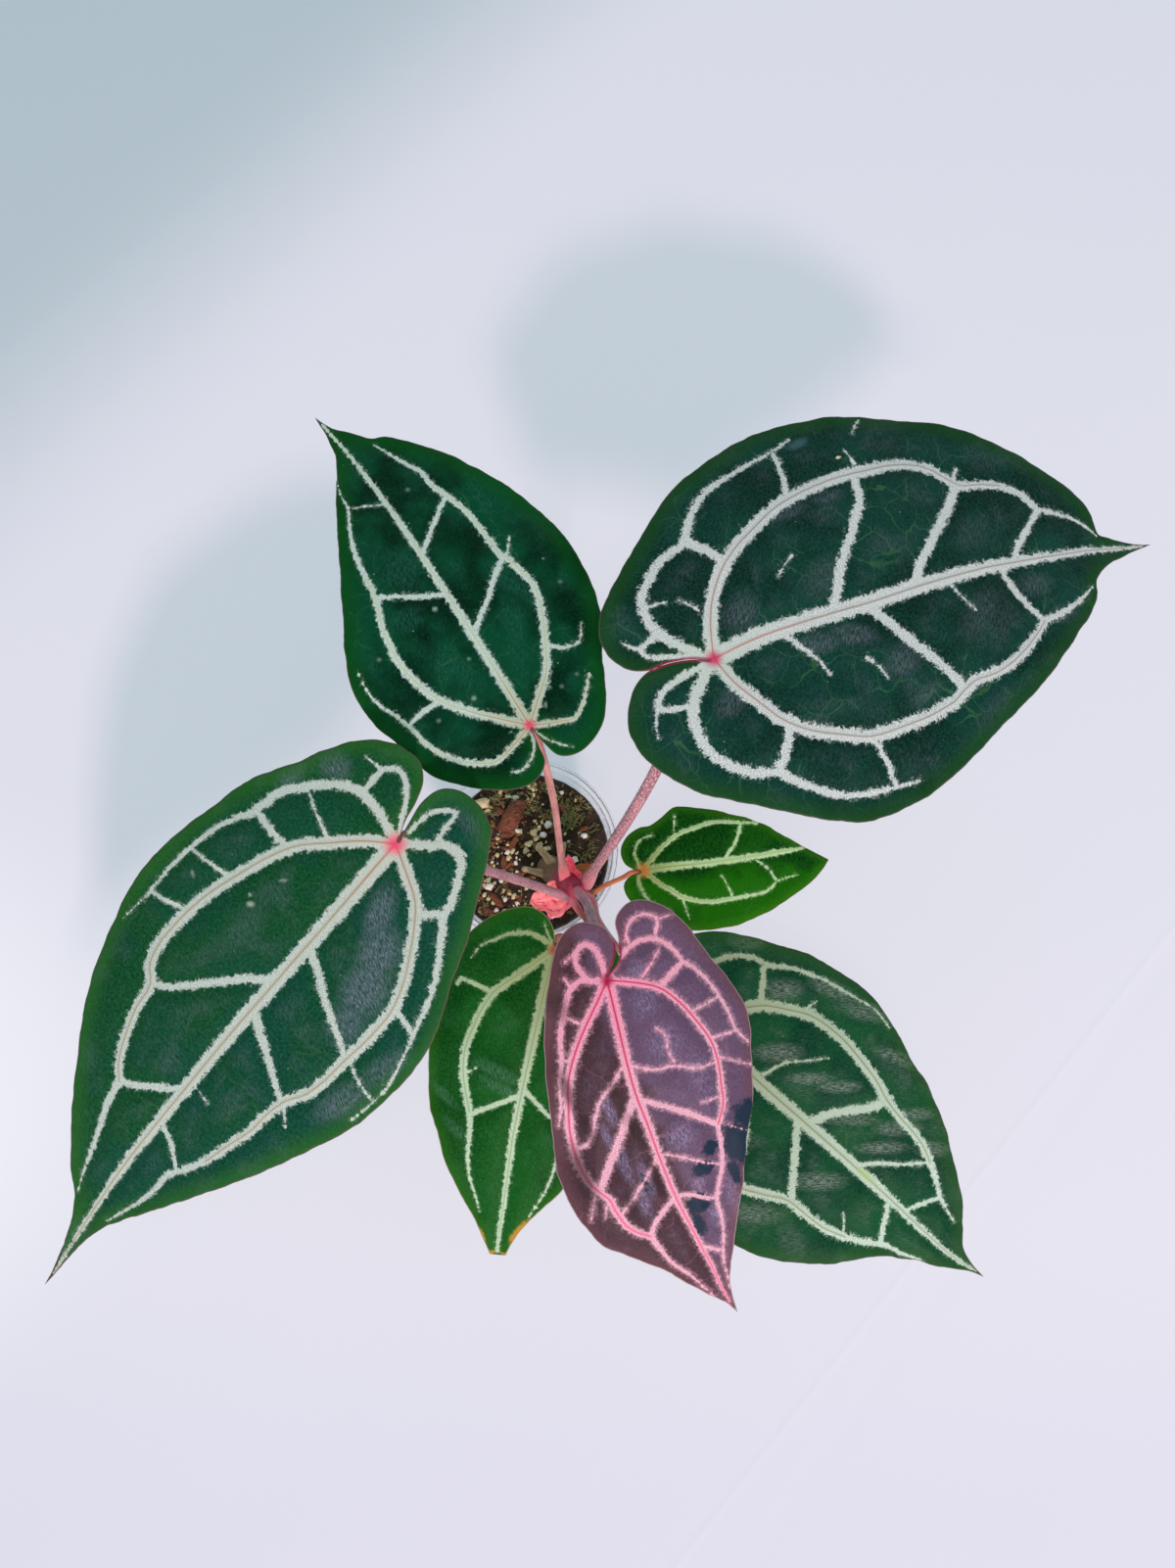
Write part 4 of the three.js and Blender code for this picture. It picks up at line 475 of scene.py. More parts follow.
      (6, 6, (2, 2), (-8, 16), (-18, 29), (-27, 37), (-34, 48), (-40, 60), (-42, 78), (-40, 95)),
      (6, 4, (-40, 95), (-37.5, 107), (-34, 117), (-32, 127), (-31, 137), (-29, 147), (-25, 156)),
      (3.4, 0.8, (-25, 156), (-20, 165), (-15.6, 172), (-13, 179), (-10.5, 187)),
      (3.4, 3, (-27, 35), (-36, 29), (-43, 24)),
      (3.6, 2.2, (2, 0), (-8, -5), (-18, -3), (-28, 4), (-36, 9), (-42, 17), (-45, 26), (-50, 33)),
      (2.2, 0.8, (-50, 33), (-56, 45), (-60, 58), (-63, 72), (-65, 82), (-63, 94)),
      (4.6, 4, (2, 94), (-8, 99), (-18, 107), (-28, 115), (-35, 118)),
      (2.2, 1.6, (2, 128), (-6, 134), (-14, 144), (-24, 155)),
      (2.4, 2, (3, 162), (-6, 167), (-15, 172)),
      (1.7, 0.6, (0, 60), (-12, 64), (-22, 73), (-30, 80)),
      (1.5, 0.5, (-41, 55), (-48, 57)),
      (6, 5.5, (2, 2), (13, 12), (25, 24), (36, 40), (44, 58), (50, 76), (50, 92)),
      (5.5, 4.4, (50, 92), (44, 103), (39, 112), (38, 125), (37, 135), (33, 147)),
      (4, 0.9, (33, 147), (28, 157), (23, 165), (20, 175), (15, 188)),
      (3.8, 3.6, (6, 89), (16, 97), (28, 106), (39, 114)),
      (2.6, 2.4, (4, 152), (14, 158), (24, 164)),
      (3.2, 3, (5, 54), (18, 65), (34, 77), (50, 83)),
      (3.4, 1.2, (2, 0), (14, -6), (26, -5), (37, 3), (47, 18), (54, 38), (58, 58)),
      (1.4, 0.5, (31, 144), (24, 137)),
    ],
    "painted_sheen_spots": [(-15, 79, 4, 15, 42, 1), (-22, 93, 4, 15, 42, 1), (-14, 131, 4, 17, 42, 1),
      (-27, 131, 5, 16, 42, 1), (-14, 110, 4, 18, 42, 0.9), (-14, 58, 6, 16, 42, 0.9),
      (-61, 80, 6, 18, 30, 0.9), (21, 117, 6, 18, 42, 0.9), (55, 105, 7, 18, 42, 0.8),
      (-39, 134, 4, 14, 42, 0.8), (-31, 152, 5, 12, 42, 0.9), (-40, 39, 7, 14, 42, 0.8),
      (-58, 60, 6, 18, 20, 0.8), (-48, 9, 7, 14, 42, 0.6), (-54, 108, 5, 18, 20, 0.8),
      (36, 70, 6, 20, 42, 0.5)],
    "mark": [(2.6, 134, 2.8, 8, 0, 0.65)],
    "petiole": {
      "radius": 1.9, "wing": 0.4,
      "points": [[30, -24.5, 107], [37, -29.5, 110.5], [41, -42, 122], [56, -62, 132]],
    },
  },
]


# Papery bracts round the crown: foot, tip, width, how far the sides fold up, and the ruffle.
BRACTS = [
    ("coral", (22, -28, 101), (2.5, -31, 107), 21, 5, 1.5),
    ("scarlet", (25.5, -19, 103), (24, -5, 118), 13, 4, 1.1),
    ("pink", (21, -26, 98), (14, -40, 104), 15, 4, 1.3),
    ("brown", (27, -14.5, 101), (43, -9, 109), 8, 2, 0.3),
]

# Dry ends of old petioles: foot, tip and radius at the foot.
STUBS = [
    ("stub_1", (15, -8, 91), (7, 1, 104), 2.8),
    ("stub_2", (10, -13, 89), (-2, -11, 99), 2.4),
    ("stub_3", (20, -9, 97), (22, 3, 106), 1.6),
]

# Settings that many nodes share: a range that eases in and out, and a mix of two colours.
FADE = {"interpolation_type": "SMOOTHSTEP"}
COLOURS = {"data_type": "RGBA"}


# Materials.
def linear(colour):
    """The linear RGBA of an sRGB hex colour."""
    parts = [int(colour[i:i + 2], 16) / 255 for i in (0, 2, 4)]
    return [p / 12.92 if p <= 0.04045 else ((p + 0.055) / 1.055) ** 2.4 for p in parts] + [1]


def result(node):
    """The first output that a node's settings leave in use."""
    return next(socket for socket in node.outputs if socket.enabled)


def add(tree, kind, inputs=(), **settings):
    """Adds a node with its settings. Inputs are values, hex colours or other nodes, in the order of
    the sockets that the settings leave in use."""
    made = tree.nodes.new("ShaderNode" + kind)
    for name, value in settings.items():
        setattr(made, name, value)
    used = [socket for socket in made.inputs if socket.enabled]
    for socket, value in zip(used, inputs):
        if isinstance(value, bpy.types.Node):
            value = result(value)
        if isinstance(value, bpy.types.NodeSocket):
            tree.links.new(value, socket)
        else:
            socket.default_value = linear(value) if isinstance(value, str) else value
    return made


def material(name, **values):
    """A material with plain values in its shader's sockets, its node tree and its shader."""
    made = bpy.data.materials.new(name)
    made.use_nodes = True
    shader = made.node_tree.nodes["Principled BSDF"]
    for socket, value in values.items():
        value = linear(value) if isinstance(value, str) else value
        shader.inputs[socket.replace("_", " ")].default_value = value
    return made, made.node_tree, shader


def surface(tree, shader, height, strength, depth, **looks):
    """Gives a shader its looks, each a socket and a node, and a relief with a strength and a depth
    in mm."""
    relief = add(tree, "Bump", [strength, depth * MM])
    tree.links.new(result(height), relief.inputs["Height"])
    for socket, node in {**looks, "Normal": relief}.items():
        tree.links.new(result(node), shader.inputs[socket.replace("_", " ")])


def vein_edges(tree, look, at):
    """The combed edge of a silver vein: hairs 0.5 mm apart that lean along it, and a ragged outline.
    Gives the share of silver, the share of the halo beside it, and what makes the edge ragged."""
    edge, width, along = at["edge"], at["width"], at["along"]
    lean = add(tree, "Math", [edge, 0.5, along], operation="MULTIPLY_ADD")
    hair_place = add(tree, "Math", [lean, 2.0], operation="MULTIPLY")
    hair_reach = add(tree, "Math", [edge, 0.5], operation="MULTIPLY")
    hair_at = add(tree, "CombineXYZ", [hair_place, hair_reach])
    hairs = add(tree, "TexNoise", [hair_at, 1.0, 2.0, 0.6])
    ragged = add(tree, "TexNoise", [at["flat"], 0.42, 5.0, 0.75])
    hair_size = add(tree, "MapRange", [hairs, 0, 1, -1.9 * look["comb"], 1.9 * look["comb"]])
    ragged_size = add(tree, "MapRange", [ragged, 0, 1, -3.0 * look["comb"], 3.0 * look["comb"]])
    wander = add(tree, "Math", [hair_size, ragged_size], operation="ADD")
    stout = add(tree, "MapRange", [width, 0.6, 4.0, 0.42, 1.0])
    inside = add(tree, "Math", [wander, stout, edge], operation="MULTIPLY_ADD")

    # The thinnest veins break up into beads 2 to 4 mm long.
    bead_at = add(tree, "CombineXYZ", [add(tree, "Math", [along, 0.4], operation="MULTIPLY")])
    beads = add(tree, "MapRange", [add(tree, "TexNoise", [bead_at, 1.0, 2.0]), 0.4, 0.65, -0.25, 0.75])
    thin = add(tree, "MapRange", [width, 0.9, 2.4, 1.0, 0.0])
    beads = add(tree, "Math", [beads, thin], operation="MULTIPLY")
    inside = add(tree, "Math", [inside, beads], operation="ADD")
    silver = add(tree, "MapRange", [inside, -0.25, 0.34, 1.0, 0.0], **FADE)
    outer = add(tree, "Math", [wander, 1.6, edge], operation="MULTIPLY_ADD")
    halo = add(tree, "MapRange", [outer, -0.3, look["halo_width"], look["halo"], 0.0], **FADE)
    return silver, halo, ragged


def panel_colour(tree, look, at):
    """Panels: two broad shades, mottled in cells of 1 to 3 mm, with painted sheen: a greyer tint where they
    bulge and in the patches of painted sheen. Gives the colour, the cells and the lines of the finest net."""
    flat = at["flat"]
    broad = add(tree, "TexNoise", [flat, 0.028, 3.0, 0.55])
    shade = add(tree, "MapRange", [broad, 0.38, 0.62], **FADE)
    half = add(tree, "MapRange", [add(tree, "SeparateXYZ", [flat]), -4, 12, -look["halves"], look["halves"]])
    shade = add(tree, "Math", [shade, half], operation="ADD", use_clamp=True)
    panel = add(tree, "Mix", [shade, *look["panel"]], **COLOURS)
    # Painted sheen: light glancing off the panels, painted as a greyer tint in soft clouds away from the
    # veins and in the patches of painted sheen.
    cloud = add(tree, "MapRange", [add(tree, "TexNoise", [flat, 0.06, 4.0, 0.6]), 0.44, 0.64], **FADE)
    sheen_share = add(tree, "MapRange", [at["edge"], 1.0, 11.0, 0.0, look["painted_sheen_amount"]], **FADE)
    sheen_share = add(tree, "Math", [sheen_share, cloud], operation="MULTIPLY")
    sheen_share = add(tree, "Math", [sheen_share, at["painted_sheen_spots"]], operation="MAXIMUM")

    # The nap lies in streaks, about 0.6 mm apart and five times as long, and the painted sheen is streaked
    # along it.
    turn = math.radians(look["brush"])
    ways = ((1.6 * math.cos(turn), 1.6 * math.sin(turn), 0), (-0.3 * math.sin(turn), 0.3 * math.cos(turn), 0))
    brushed = [add(tree, "VectorMath", [flat, way], operation="DOT_PRODUCT") for way in ways]
    brushed = add(tree, "TexNoise", [add(tree, "CombineXYZ", brushed), 1.0, 4.0, 0.75])
    streaks = add(tree, "MapRange", [brushed, 0.4, 0.6, 0.0, 1.1])
    sheen_share = add(tree, "Math", [sheen_share, streaks], operation="MULTIPLY", use_clamp=True)
    panel = add(tree, "Mix", [sheen_share, panel, look["painted_sheen_colour"]], **COLOURS)
    cells = add(tree, "TexNoise", [flat, 0.7, 5.0, 0.75])
    cell_show = add(tree, "MapRange", [cells, 0.36, 0.7, 0.0, 0.7], **FADE)
    panel = add(tree, "Mix", [cell_show, panel, look["mottle"]], **COLOURS)

    # Velvet: each cell of the skin catches a different share of the light, and so does the nap.
    velvet = add(tree, "TexNoise", [flat, 1.1, 5.0, 0.85])
    low, high = 1 - look["velvet"], 1 + 1.3 * look["velvet"]
    velvet = add(tree, "MapRange", [velvet, 0.36, 0.64, low, high], clamp=False)
    nap = add(tree, "MapRange", [brushed, 0.38, 0.62, 0.88, 1.16], clamp=False)
    for light in (velvet, nap):
        panel = add(tree, "Mix", [1.0, panel, light], blend_type="MULTIPLY", **COLOURS)

    # The finest net: lines 0.4 mm wide round fields of about 15 mm, seen here and there.
    warp = add(tree, "TexNoise", [flat, 0.09, 2.0])
    shifted = add(tree, "VectorMath", [warp.outputs["Color"], (11, 11, 0), flat], operation="MULTIPLY_ADD")
    net = add(tree, "TexVoronoi", [shifted, 0.065], feature="DISTANCE_TO_EDGE")
    net_line = add(tree, "MapRange", [net, 0.0, 0.024, 1.0, 0.0], **FADE)
    net_place = add(tree, "MapRange", [broad, 0.45, 0.62, 0.0, look["net"]], **FADE)
    net_show = add(tree, "Math", [net_line, net_place], operation="MULTIPLY")
    panel = add(tree, "Mix", [net_show, panel, look["net_colour"]], **COLOURS)

    # A few pale specks of dust, 0.6 mm across.
    cast = add(tree, "TexVoronoi", [flat, 0.1])
    specks = add(tree, "MapRange", [cast.outputs["Distance"], 0.025, 0.05, look["dust"], 0.0])
    few = add(tree, "SeparateColor", [cast.outputs["Color"]])
    few = add(tree, "MapRange", [few.outputs["Red"], 0.6, 0.7])
    specks = add(tree, "Math", [specks, few], operation="MULTIPLY")
    panel = add(tree, "Mix", [specks, panel, "A8C4B4"], **COLOURS)
    return panel, cells, net_line


def vein_line(tree, look, at, home, silver):
    """The thin line of the bundle in the middle of each main vein, reddest at the junction, in a pale
    bed, and the spot at the junction: pairs of a share and a colour."""
    near_colour, far_colour, fading, gone = look["line"]
    far = add(tree, "MapRange", [home, 2.0, gone], **FADE)
    line_colour = add(tree, "Mix", [far, near_colour, far_colour], **COLOURS)
    reach = add(tree, "Math", [at["width"], 0.03, 0.14], operation="MULTIPLY_ADD")
    apart = add(tree, "Math", [at["middle"], reach], operation="DIVIDE")
    bed_colour, bed_amount = look["bed"]
    bed = add(tree, "MapRange", [apart, 1.0, 4.5, bed_amount, 0.0], **FADE)
    bed = add(tree, "Math", [bed, silver], operation="MULTIPLY")
    core = add(tree, "MapRange", [apart, 0.6, 1.6, 0.85, 0.0], **FADE)
    kept = add(tree, "MapRange", [home, fading, gone, look["line_start"], look["line_end"]], **FADE)
    slight = add(tree, "MapRange", [at["width"], look["slim"], look["slim"] * 1.8, 0.25, 1.0], **FADE)
    for share in (kept, slight, silver):
        core = add(tree, "Math", [core, share], operation="MULTIPLY")
    spot_colour, spot_size = look["spot"]
    spot = add(tree, "MapRange", [home, 0.8, spot_size, 0.9, 0.0], **FADE)
    return (bed, bed_colour), (core, line_colour), (spot, spot_colour)


def margin_and_wear(tree, look, at, home, silver, ragged):
    """The margin, a band that lets more light through and a thin line, red beside the sinus, then
    wear and marks: pairs of a share and a colour."""
    rim, worn = at["rim"], at["worn"]
    band_colour, band_width, band_amount = look["band"]
    band = add(tree, "MapRange", [rim, 0.6, band_width, band_amount, 0.0], **FADE)
    bare = add(tree, "Math", [1.0, silver], operation="SUBTRACT")
    band = add(tree, "Math", [band, bare], operation="MULTIPLY")
    sinus_colour, sinus_reach = look["sinus"]
    beside = add(tree, "MapRange", [home, 0.7 * sinus_reach, sinus_reach], **FADE)
    line_colour = add(tree, "Mix", [beside, sinus_colour, look["margin"]], **COLOURS)
    line_width = add(tree, "MapRange", [beside, 0.0, 1.0, 1.5, 0.6])
    outside = add(tree, "Math", [rim, line_width], operation="DIVIDE")
    # The margin line. Where its colour is pale, it is partly a painted highlight along the edge.
    margin_line_share = add(tree, "MapRange", [outside, 0.4, 1.1, 0.85, 0.0], **FADE)
    torn = add(tree, "MapRange", [ragged, 0.25, 0.75, -0.6, 0.6])
    torn = add(tree, "Math", [torn, add(tree, "MapRange", [worn, 0.0, 0.3])], operation="MULTIPLY")
    torn = add(tree, "Math", [worn, torn], operation="ADD")
    torn = add(tree, "MapRange", [torn, 0.1, 0.9, 0.0, 0.92], **FADE)
    torn = add(tree, "Math", [torn, bare], operation="MULTIPLY")
    return (band, band_colour), (margin_line_share, line_colour), (torn, look["worn"]), (at["mark"], look["mark"])


def leaf_material(name, look):
    """Living blade: velvet cells over green or red tissue trap the light, so almost no gloss is left.
    Air under the skin along the veins turns them silver, with combed edges."""
    made, tree, shader = material(name, IOR=1.42, Specular_IOR_Level=look["gloss"])
    at = {
        key: add(tree, "Attribute", attribute_name=key).outputs["Vector" if key == "flat" else "Fac"]
        for key in ("flat", "edge", "width", "along", "middle", "rim", "worn", "mark", "painted_sheen_spots", "upper")}
    in_plane = add(tree, "VectorMath", [at["flat"], (1, 1, 0)], operation="MULTIPLY")
    home = add(tree, "VectorMath", [in_plane], operation="LENGTH")
    silver, halo, ragged = vein_edges(tree, look, at)
    panel, cells, net_line = panel_colour(tree, look, at)

    # The silver itself: a grain of 0.6 mm, flushed near the junction.
    streak = add(tree, "TexNoise", [at["flat"], 1.7, 4.0, 0.85])
    streaked = add(tree, "MapRange", [streak, 0.4, 0.6], **FADE)
    bright = add(tree, "Mix", [streaked, *look["vein"][::-1]], **COLOURS)
    flush_colour, flush_end, flush_amount = look["flush"]
    flush = add(tree, "MapRange", [home, 5.0, flush_end, flush_amount, 0.0], **FADE)
    bright = add(tree, "Mix", [flush, bright, flush_colour], **COLOURS)

    # Everything that lies over the panels, in its order, then the paler underside.
    colour = panel
    line = vein_line(tree, look, at, home, silver)
    margin = margin_and_wear(tree, look, at, home, silver, ragged)
    for share, over in ((halo, bright), (silver, bright), *line, *margin):
        colour = add(tree, "Mix", [share, colour, over], **COLOURS)
    under = add(tree, "Mix", [silver, *look["under"]], **COLOURS)
    colour = add(tree, "Mix", [at["upper"], under, colour], **COLOURS)

    # Relief too fine for the mesh: the skin's grain of 0.3 mm, the net's furrows and the silver's streaks.
    grain = add(tree, "TexNoise", [at["flat"], 2.8, 3.0, 0.6])
    height = add(tree, "Math", [grain, 0.12], operation="MULTIPLY")
    streaks = add(tree, "Math", [streak, silver], operation="MULTIPLY")
    for relief, depth in ((net_line, -0.12), (cells, 0.3), (streaks, 0.25)):
        height = add(tree, "Math", [relief, depth, height], operation="MULTIPLY_ADD")
    rough = add(tree, "MapRange", [silver, 0.0, 1.0, look["rough"], look["rough"] + 0.15])
    surface(tree, shader, height, look["bump"], 0.8, Base_Color=colour, Roughness=rough)
    return made


# How each blade looks. panel and vein hold two shades. line has its colours near the junction and
# far from it, and where it starts and ends to fade. flush and band have a colour, a reach and a
# strength, bed a colour and a strength, spot and sinus a colour and a reach. Reaches are in mm.
# halves says how much the two halves differ, and brush how the nap and the painted sheen lie, in degrees.
# Each blade's painted sheen, light glancing off it, has a colour and a strength.
GREEN = {
    "net": 0.3, "net_colour": "3E6E42", "painted_sheen_amount": 0.3, "brush": 30, "velvet": 0.24, "halves": 0.0,
    "dust": 0.3, "comb": 1.0, "halo": 0.25, "halo_width": 0.9, "slim": 1.4, "line_start": 1.0,
    "line_end": 0.3, "margin": "5E5650", "sinus": ("4A3A3C", 5), "worn": "8A6A3A", "mark": "9FB5A5",
    "under": ("5E8058", "A9BF9A"), "bump": 0.4, "rough": 0.5, "gloss": 0.07,
}
LOOKS = {
    "upper_left": {
        **GREEN, "slot": "leaf_emerald", "panel": ("011C0A", "06472D"), "painted_sheen_colour": "2A6E5C",
        "mottle": "063E28", "brush": -20, "velvet": 0.3, "dust": 0.6, "vein": ("E0F0EA", "84B09A"),
        "flush": ("A4B89C", 40, 0.7), "bed": ("C8DCA8", 0.5), "line": ("B46A5C", "88A078", 8, 45),
        "line_end": 0.4, "spot": ("D8506A", 5.0), "band": ("084C14", 14, 0.8), "mark": "86A89A",
    },
    "upper_right": {
        **GREEN, "slot": "leaf_blue_green", "panel": ("031E15", "0A352B"), "painted_sheen_colour": "606672",
        "mottle": "1C4A3E", "brush": 60, "velvet": 0.4, "net": 0.55, "vein": ("E8F0EC", "8AA49A"),
        "comb": 1.1, "flush": ("B4CCBA", 36, 0.5), "bed": ("BCBCB0", 0.45),
        "line": ("B4605C", "6E726C", 12, 75), "line_start": 0.8, "line_end": 0.7,
        "spot": ("C02C5C", 6.0), "band": ("1A481C", 12, 0.75), "sinus": ("8A2C48", 36),
        "worn": "F0DCB0", "mark": "4A7074",
    },
    "left": {
        **GREEN, "slot": "leaf_deep_green", "panel": ("08382E", "0A3C18"), "halves": 0.4,
        "painted_sheen_colour": "6C7484", "mottle": "1F6444", "brush": 60, "vein": ("DCE8E0", "88A894"),
        "flush": ("C6CFBC", 50, 0.4), "bed": ("BCB08C", 0.5), "line": ("B07470", "7E7C5E", 10, 50),
        "line_start": 0.85, "line_end": 0.6, "spot": ("F04870", 8.0), "band": ("2C6820", 12, 0.6),
        "margin": "6A5052", "worn": "5A4630", "mark": "C8DCCC",
    },
    "right_small": {
        **GREEN, "slot": "leaf_bright_green", "panel": ("022C0C", "1C6404"), "halves": 0.7,
        "painted_sheen_colour": "165A20", "mottle": "1A6A10", "net": 0.2, "vein": ("D0F0BC", "94C884"), "comb": 0.8,
        "flush": ("7CA058", 26, 0.75), "bed": ("A0C070", 0.3), "line": ("A08040", "88A860", 6, 50),
        "spot": ("C07838", 6.0), "band": ("3E8410", 6, 0.35), "margin": "5A5030",
    },
    # The pale margin line of this blade is partly a painted highlight along the edge.
    "lower_middle": {
        **GREEN, "slot": "leaf_bright_green", "panel": ("053E10", "0F5219"), "painted_sheen_colour": "4C7A60",
        "mottle": "226A28", "brush": 15, "vein": ("D8F0D0", "94C49A"), "comb": 0.9,
        "flush": ("8CA66C", 85, 0.85), "bed": ("A8C890", 0.3), "line": ("909850", "7CA070", 8, 90),
        "line_end": 0.7, "spot": ("B0583C", 5.0), "band": ("2A6818", 8, 0.6), "margin": "A09878",
        "worn": "B48E3C",
    },
    # On this blade the brown half and its dark marks are painted shade, where the blade tilts away from the
    # light, and its pale margin line is partly a painted highlight along the edge.
    "new_purple": {
        **GREEN, "slot": "leaf_purple", "panel": ("5E5068", "3C2E2E"), "halves": 0.9,
        "painted_sheen_colour": "8480A0", "mottle": "5A3A4C", "net_colour": "A8708A", "brush": 0, "velvet": 0.2,
        "dust": 0.0, "vein": ("FCD2DC", "B4748C"), "comb": 0.75, "halo": 0.45, "halo_width": 2.0,
        "slim": 1.2, "flush": ("E8709A", 60, 0.35), "bed": ("E85C86", 0.65),
        "line": ("AC1C4C", "D06C88", 60, 160), "line_end": 0.4, "spot": ("9C1040", 5.0),
        "band": ("6A4448", 8, 0.5), "margin": "B49A98", "sinus": ("7A1238", 24), "worn": "002A3A",
        "mark": "302424", "under": ("8A5A60", "C98A92"), "rough": 0.46, "gloss": 0.14,
    },
    "lower_right": {
        **GREEN, "slot": "leaf_deep_green", "panel": ("063120", "124A28"), "painted_sheen_colour": "7C887E",
        "mottle": "20583C", "brush": 42, "vein": ("E0F2E2", "8CB89C"), "flush": ("90A57F", 170, 0.9),
        "bed": ("9CB084", 0.4), "line": ("6E7A50", "90A078", 60, 200), "line_end": 0.8,
        "spot": ("A8684A", 2.5), "band": ("2E5A26", 10, 0.5), "mark": "A8C878",
    },
}


# Curves and sheets.
def unit(ways):
    """Directions made one unit long."""
    return ways / np.linalg.norm(ways, axis=1)[:, None]


def bell(distance, reach):
    """1 at no distance, and next to nothing beyond twice the reach."""
    return np.exp(-((distance / reach) ** 2))


def lumps(x, y, size, seed):
    """A smooth random height at a place, in lumps of a size."""
    return noise.noise(Vector((x / size, y / size, seed)))


def uneven(points, depth, size):
    """Points moved along each axis by a depth, in lumps of a size, the same way in each run."""
    apart = [Vector(way) for way in ((0, 0, 0), (40, 0, 0), (0, 40, 0))]
    return [p + depth * np.array([noise.noise(Vector(p) / size + way) for way in apart]) for p in points]


def spline(points, step):
    """Points along a centripetal curve through points, about step apart."""
    points = np.array(points, float)
    padded = np.vstack([2 * points[0] - points[1], points, 2 * points[-1] - points[-2]])
    found = []
    for p0, p1, p2, p3 in zip(padded, padded[1:], padded[2:], padded[3:]):
        gaps = [np.linalg.norm(b - a) ** 0.5 for a, b in ((p0, p1), (p1, p2), (p2, p3))]
        k0, k1, k2, k3 = np.cumsum([0, *gaps])
        count = max(2, round(np.linalg.norm(p2 - p1) / step))
        t = np.linspace(k1, k2, count, endpoint=False)[:, None]
        a1 = ((k1 - t) * p0 + (t - k0) * p1) / (k1 - k0)
        a2 = ((k2 - t) * p1 + (t - k1) * p2) / (k2 - k1)
        a3 = ((k3 - t) * p2 + (t - k2) * p3) / (k3 - k2)
        b1 = ((k2 - t) * a1 + (t - k0) * a2) / (k2 - k0)
        b2 = ((k3 - t) * a2 + (t - k1) * a3) / (k3 - k1)
        found.extend(((k2 - t) * b1 + (t - k1) * b2) / (k2 - k1))
    return np.array([*found, points[-1]])


def strokes(lines):
    """Short straight pieces of each line: start, end, half width at both, run at the start, length,
    and the line's width at its start and where it is widest."""
    rows = []
    for number, (first, last, *points) in enumerate(lines):
        path = spline(points, 3.0)
        half = np.linspace(first, last, len(path)) / 2
        lengths = np.linalg.norm(np.diff(path, axis=0), axis=1)
        run = RUN_APART * number + np.concatenate([[0], np.cumsum(lengths)])
        rows.append(np.column_stack([path[:-1], path[1:], half[:-1], half[1:], run[:-1], lengths,
                                     np.full_like(lengths, first), np.full_like(lengths, max(first, last))]))
    return np.vstack(rows)


def nearest(marks, places):
    """Each place's distance to the nearest of the marks."""
    tree = KDTree(len(marks))
    for number, (x, y) in enumerate(marks):
        tree.insert((x, y, 0), number)
    tree.balance()
    return np.array([tree.find((x, y, 0))[2] for x, y in places])


def measure(places, rows, main, lined):
    """Each place's distance to the nearest stroke's edge, its half width and run there, the distance
    to the edge of the nearest line at least as wide as main, and to the middle of the nearest one
    that starts at least as wide as lined."""
    results = []
    x1, y1, x2, y2, first, last, run, length, start_width, most_width = np.float32(rows.T)
    wx, wy = x2 - x1, y2 - y1
    scale = 1 / np.maximum(wx * wx + wy * wy, 1e-6)
    thick, wide = most_width >= main, start_width >= lined
    for chunk in np.array_split(np.float32(places), max(1, len(places) // 4000)):
        ox, oy = chunk[:, :1] - x1, chunk[:, 1:] - y1
        t = np.clip((ox * wx + oy * wy) * scale, 0, 1)
        distance = np.hypot(ox - t * wx, oy - t * wy)
        half = first + t * (last - first)
        signed = distance - half
        pick = np.argmin(signed, axis=1)
        at = np.arange(len(chunk))
        results.append(np.column_stack([
            signed[at, pick], half[at, pick], run[pick] + t[at, pick] * length[pick],
            signed[:, thick].min(1), distance[:, wide].min(1)]))
    return np.vstack(results).T


def within(outline, places):
    """Which places lie inside a closed outline."""
    inside = np.zeros(len(places), bool)
    x, y = places.T
    for (x1, y1), (x2, y2) in zip(outline, np.roll(outline, -1, axis=0)):
        if y1 != y2:
            inside ^= ((y1 > y) != (y2 > y)) & (x < (x2 - x1) * (y - y1) / (y2 - y1) + x1)
    return inside


def fill(outline, step, drawn=()):
    """A sheet inside an outline: its points, step apart and along what is drawn on it, its triangles,
    its points on the outline, and each point's distance to the outline."""
    low, high = outline.min(0), outline.max(0)
    grid = np.vstack([
        [(x, y) for x in np.arange(low[0] + (k % 2) * step / 2, high[0], step)]
        for k, y in enumerate(np.arange(low[1] + 0.2 * step, high[1], 0.87 * step))])
    halfway = np.vstack([outline, (outline + np.roll(outline, -1, axis=0)) / 2])
    if len(drawn):
        drawn = np.unique(np.round(drawn, 1), axis=0)
        grid = np.vstack([grid[nearest(drawn, grid) > 0.5 * step], drawn])
    grid = grid[within(outline, grid)]
    grid = grid[nearest(halfway, grid) > 0.5 * step]
    count = len(outline)
    points, _, faces, origins, _, _ = delaunay_2d_cdt(
        [Vector(p) for p in np.vstack([outline, grid])], [(i, (i + 1) % count) for i in range(count)],
        [], 1, 1e-6, True)
    points, faces = np.array(points), np.array(faces)
    place = {source: made for made, sources in enumerate(origins) for source in sources}
    border = [place[i] for i in range(count)]
    doubtful = np.zeros(len(points), bool)
    doubtful[border] = True
    doubtful = doubtful[faces].all(1)
    kept = ~doubtful
    kept[doubtful] = within(outline, points[faces[doubtful]].mean(1))
    away = nearest(halfway, points)
    away[border] = 0
    return points, faces[kept], border, away


def placed(name, data):
    """A new object in the scene."""
    made = bpy.data.objects.new(name, data)
    bpy.context.scene.collection.objects.link(made)
    return made


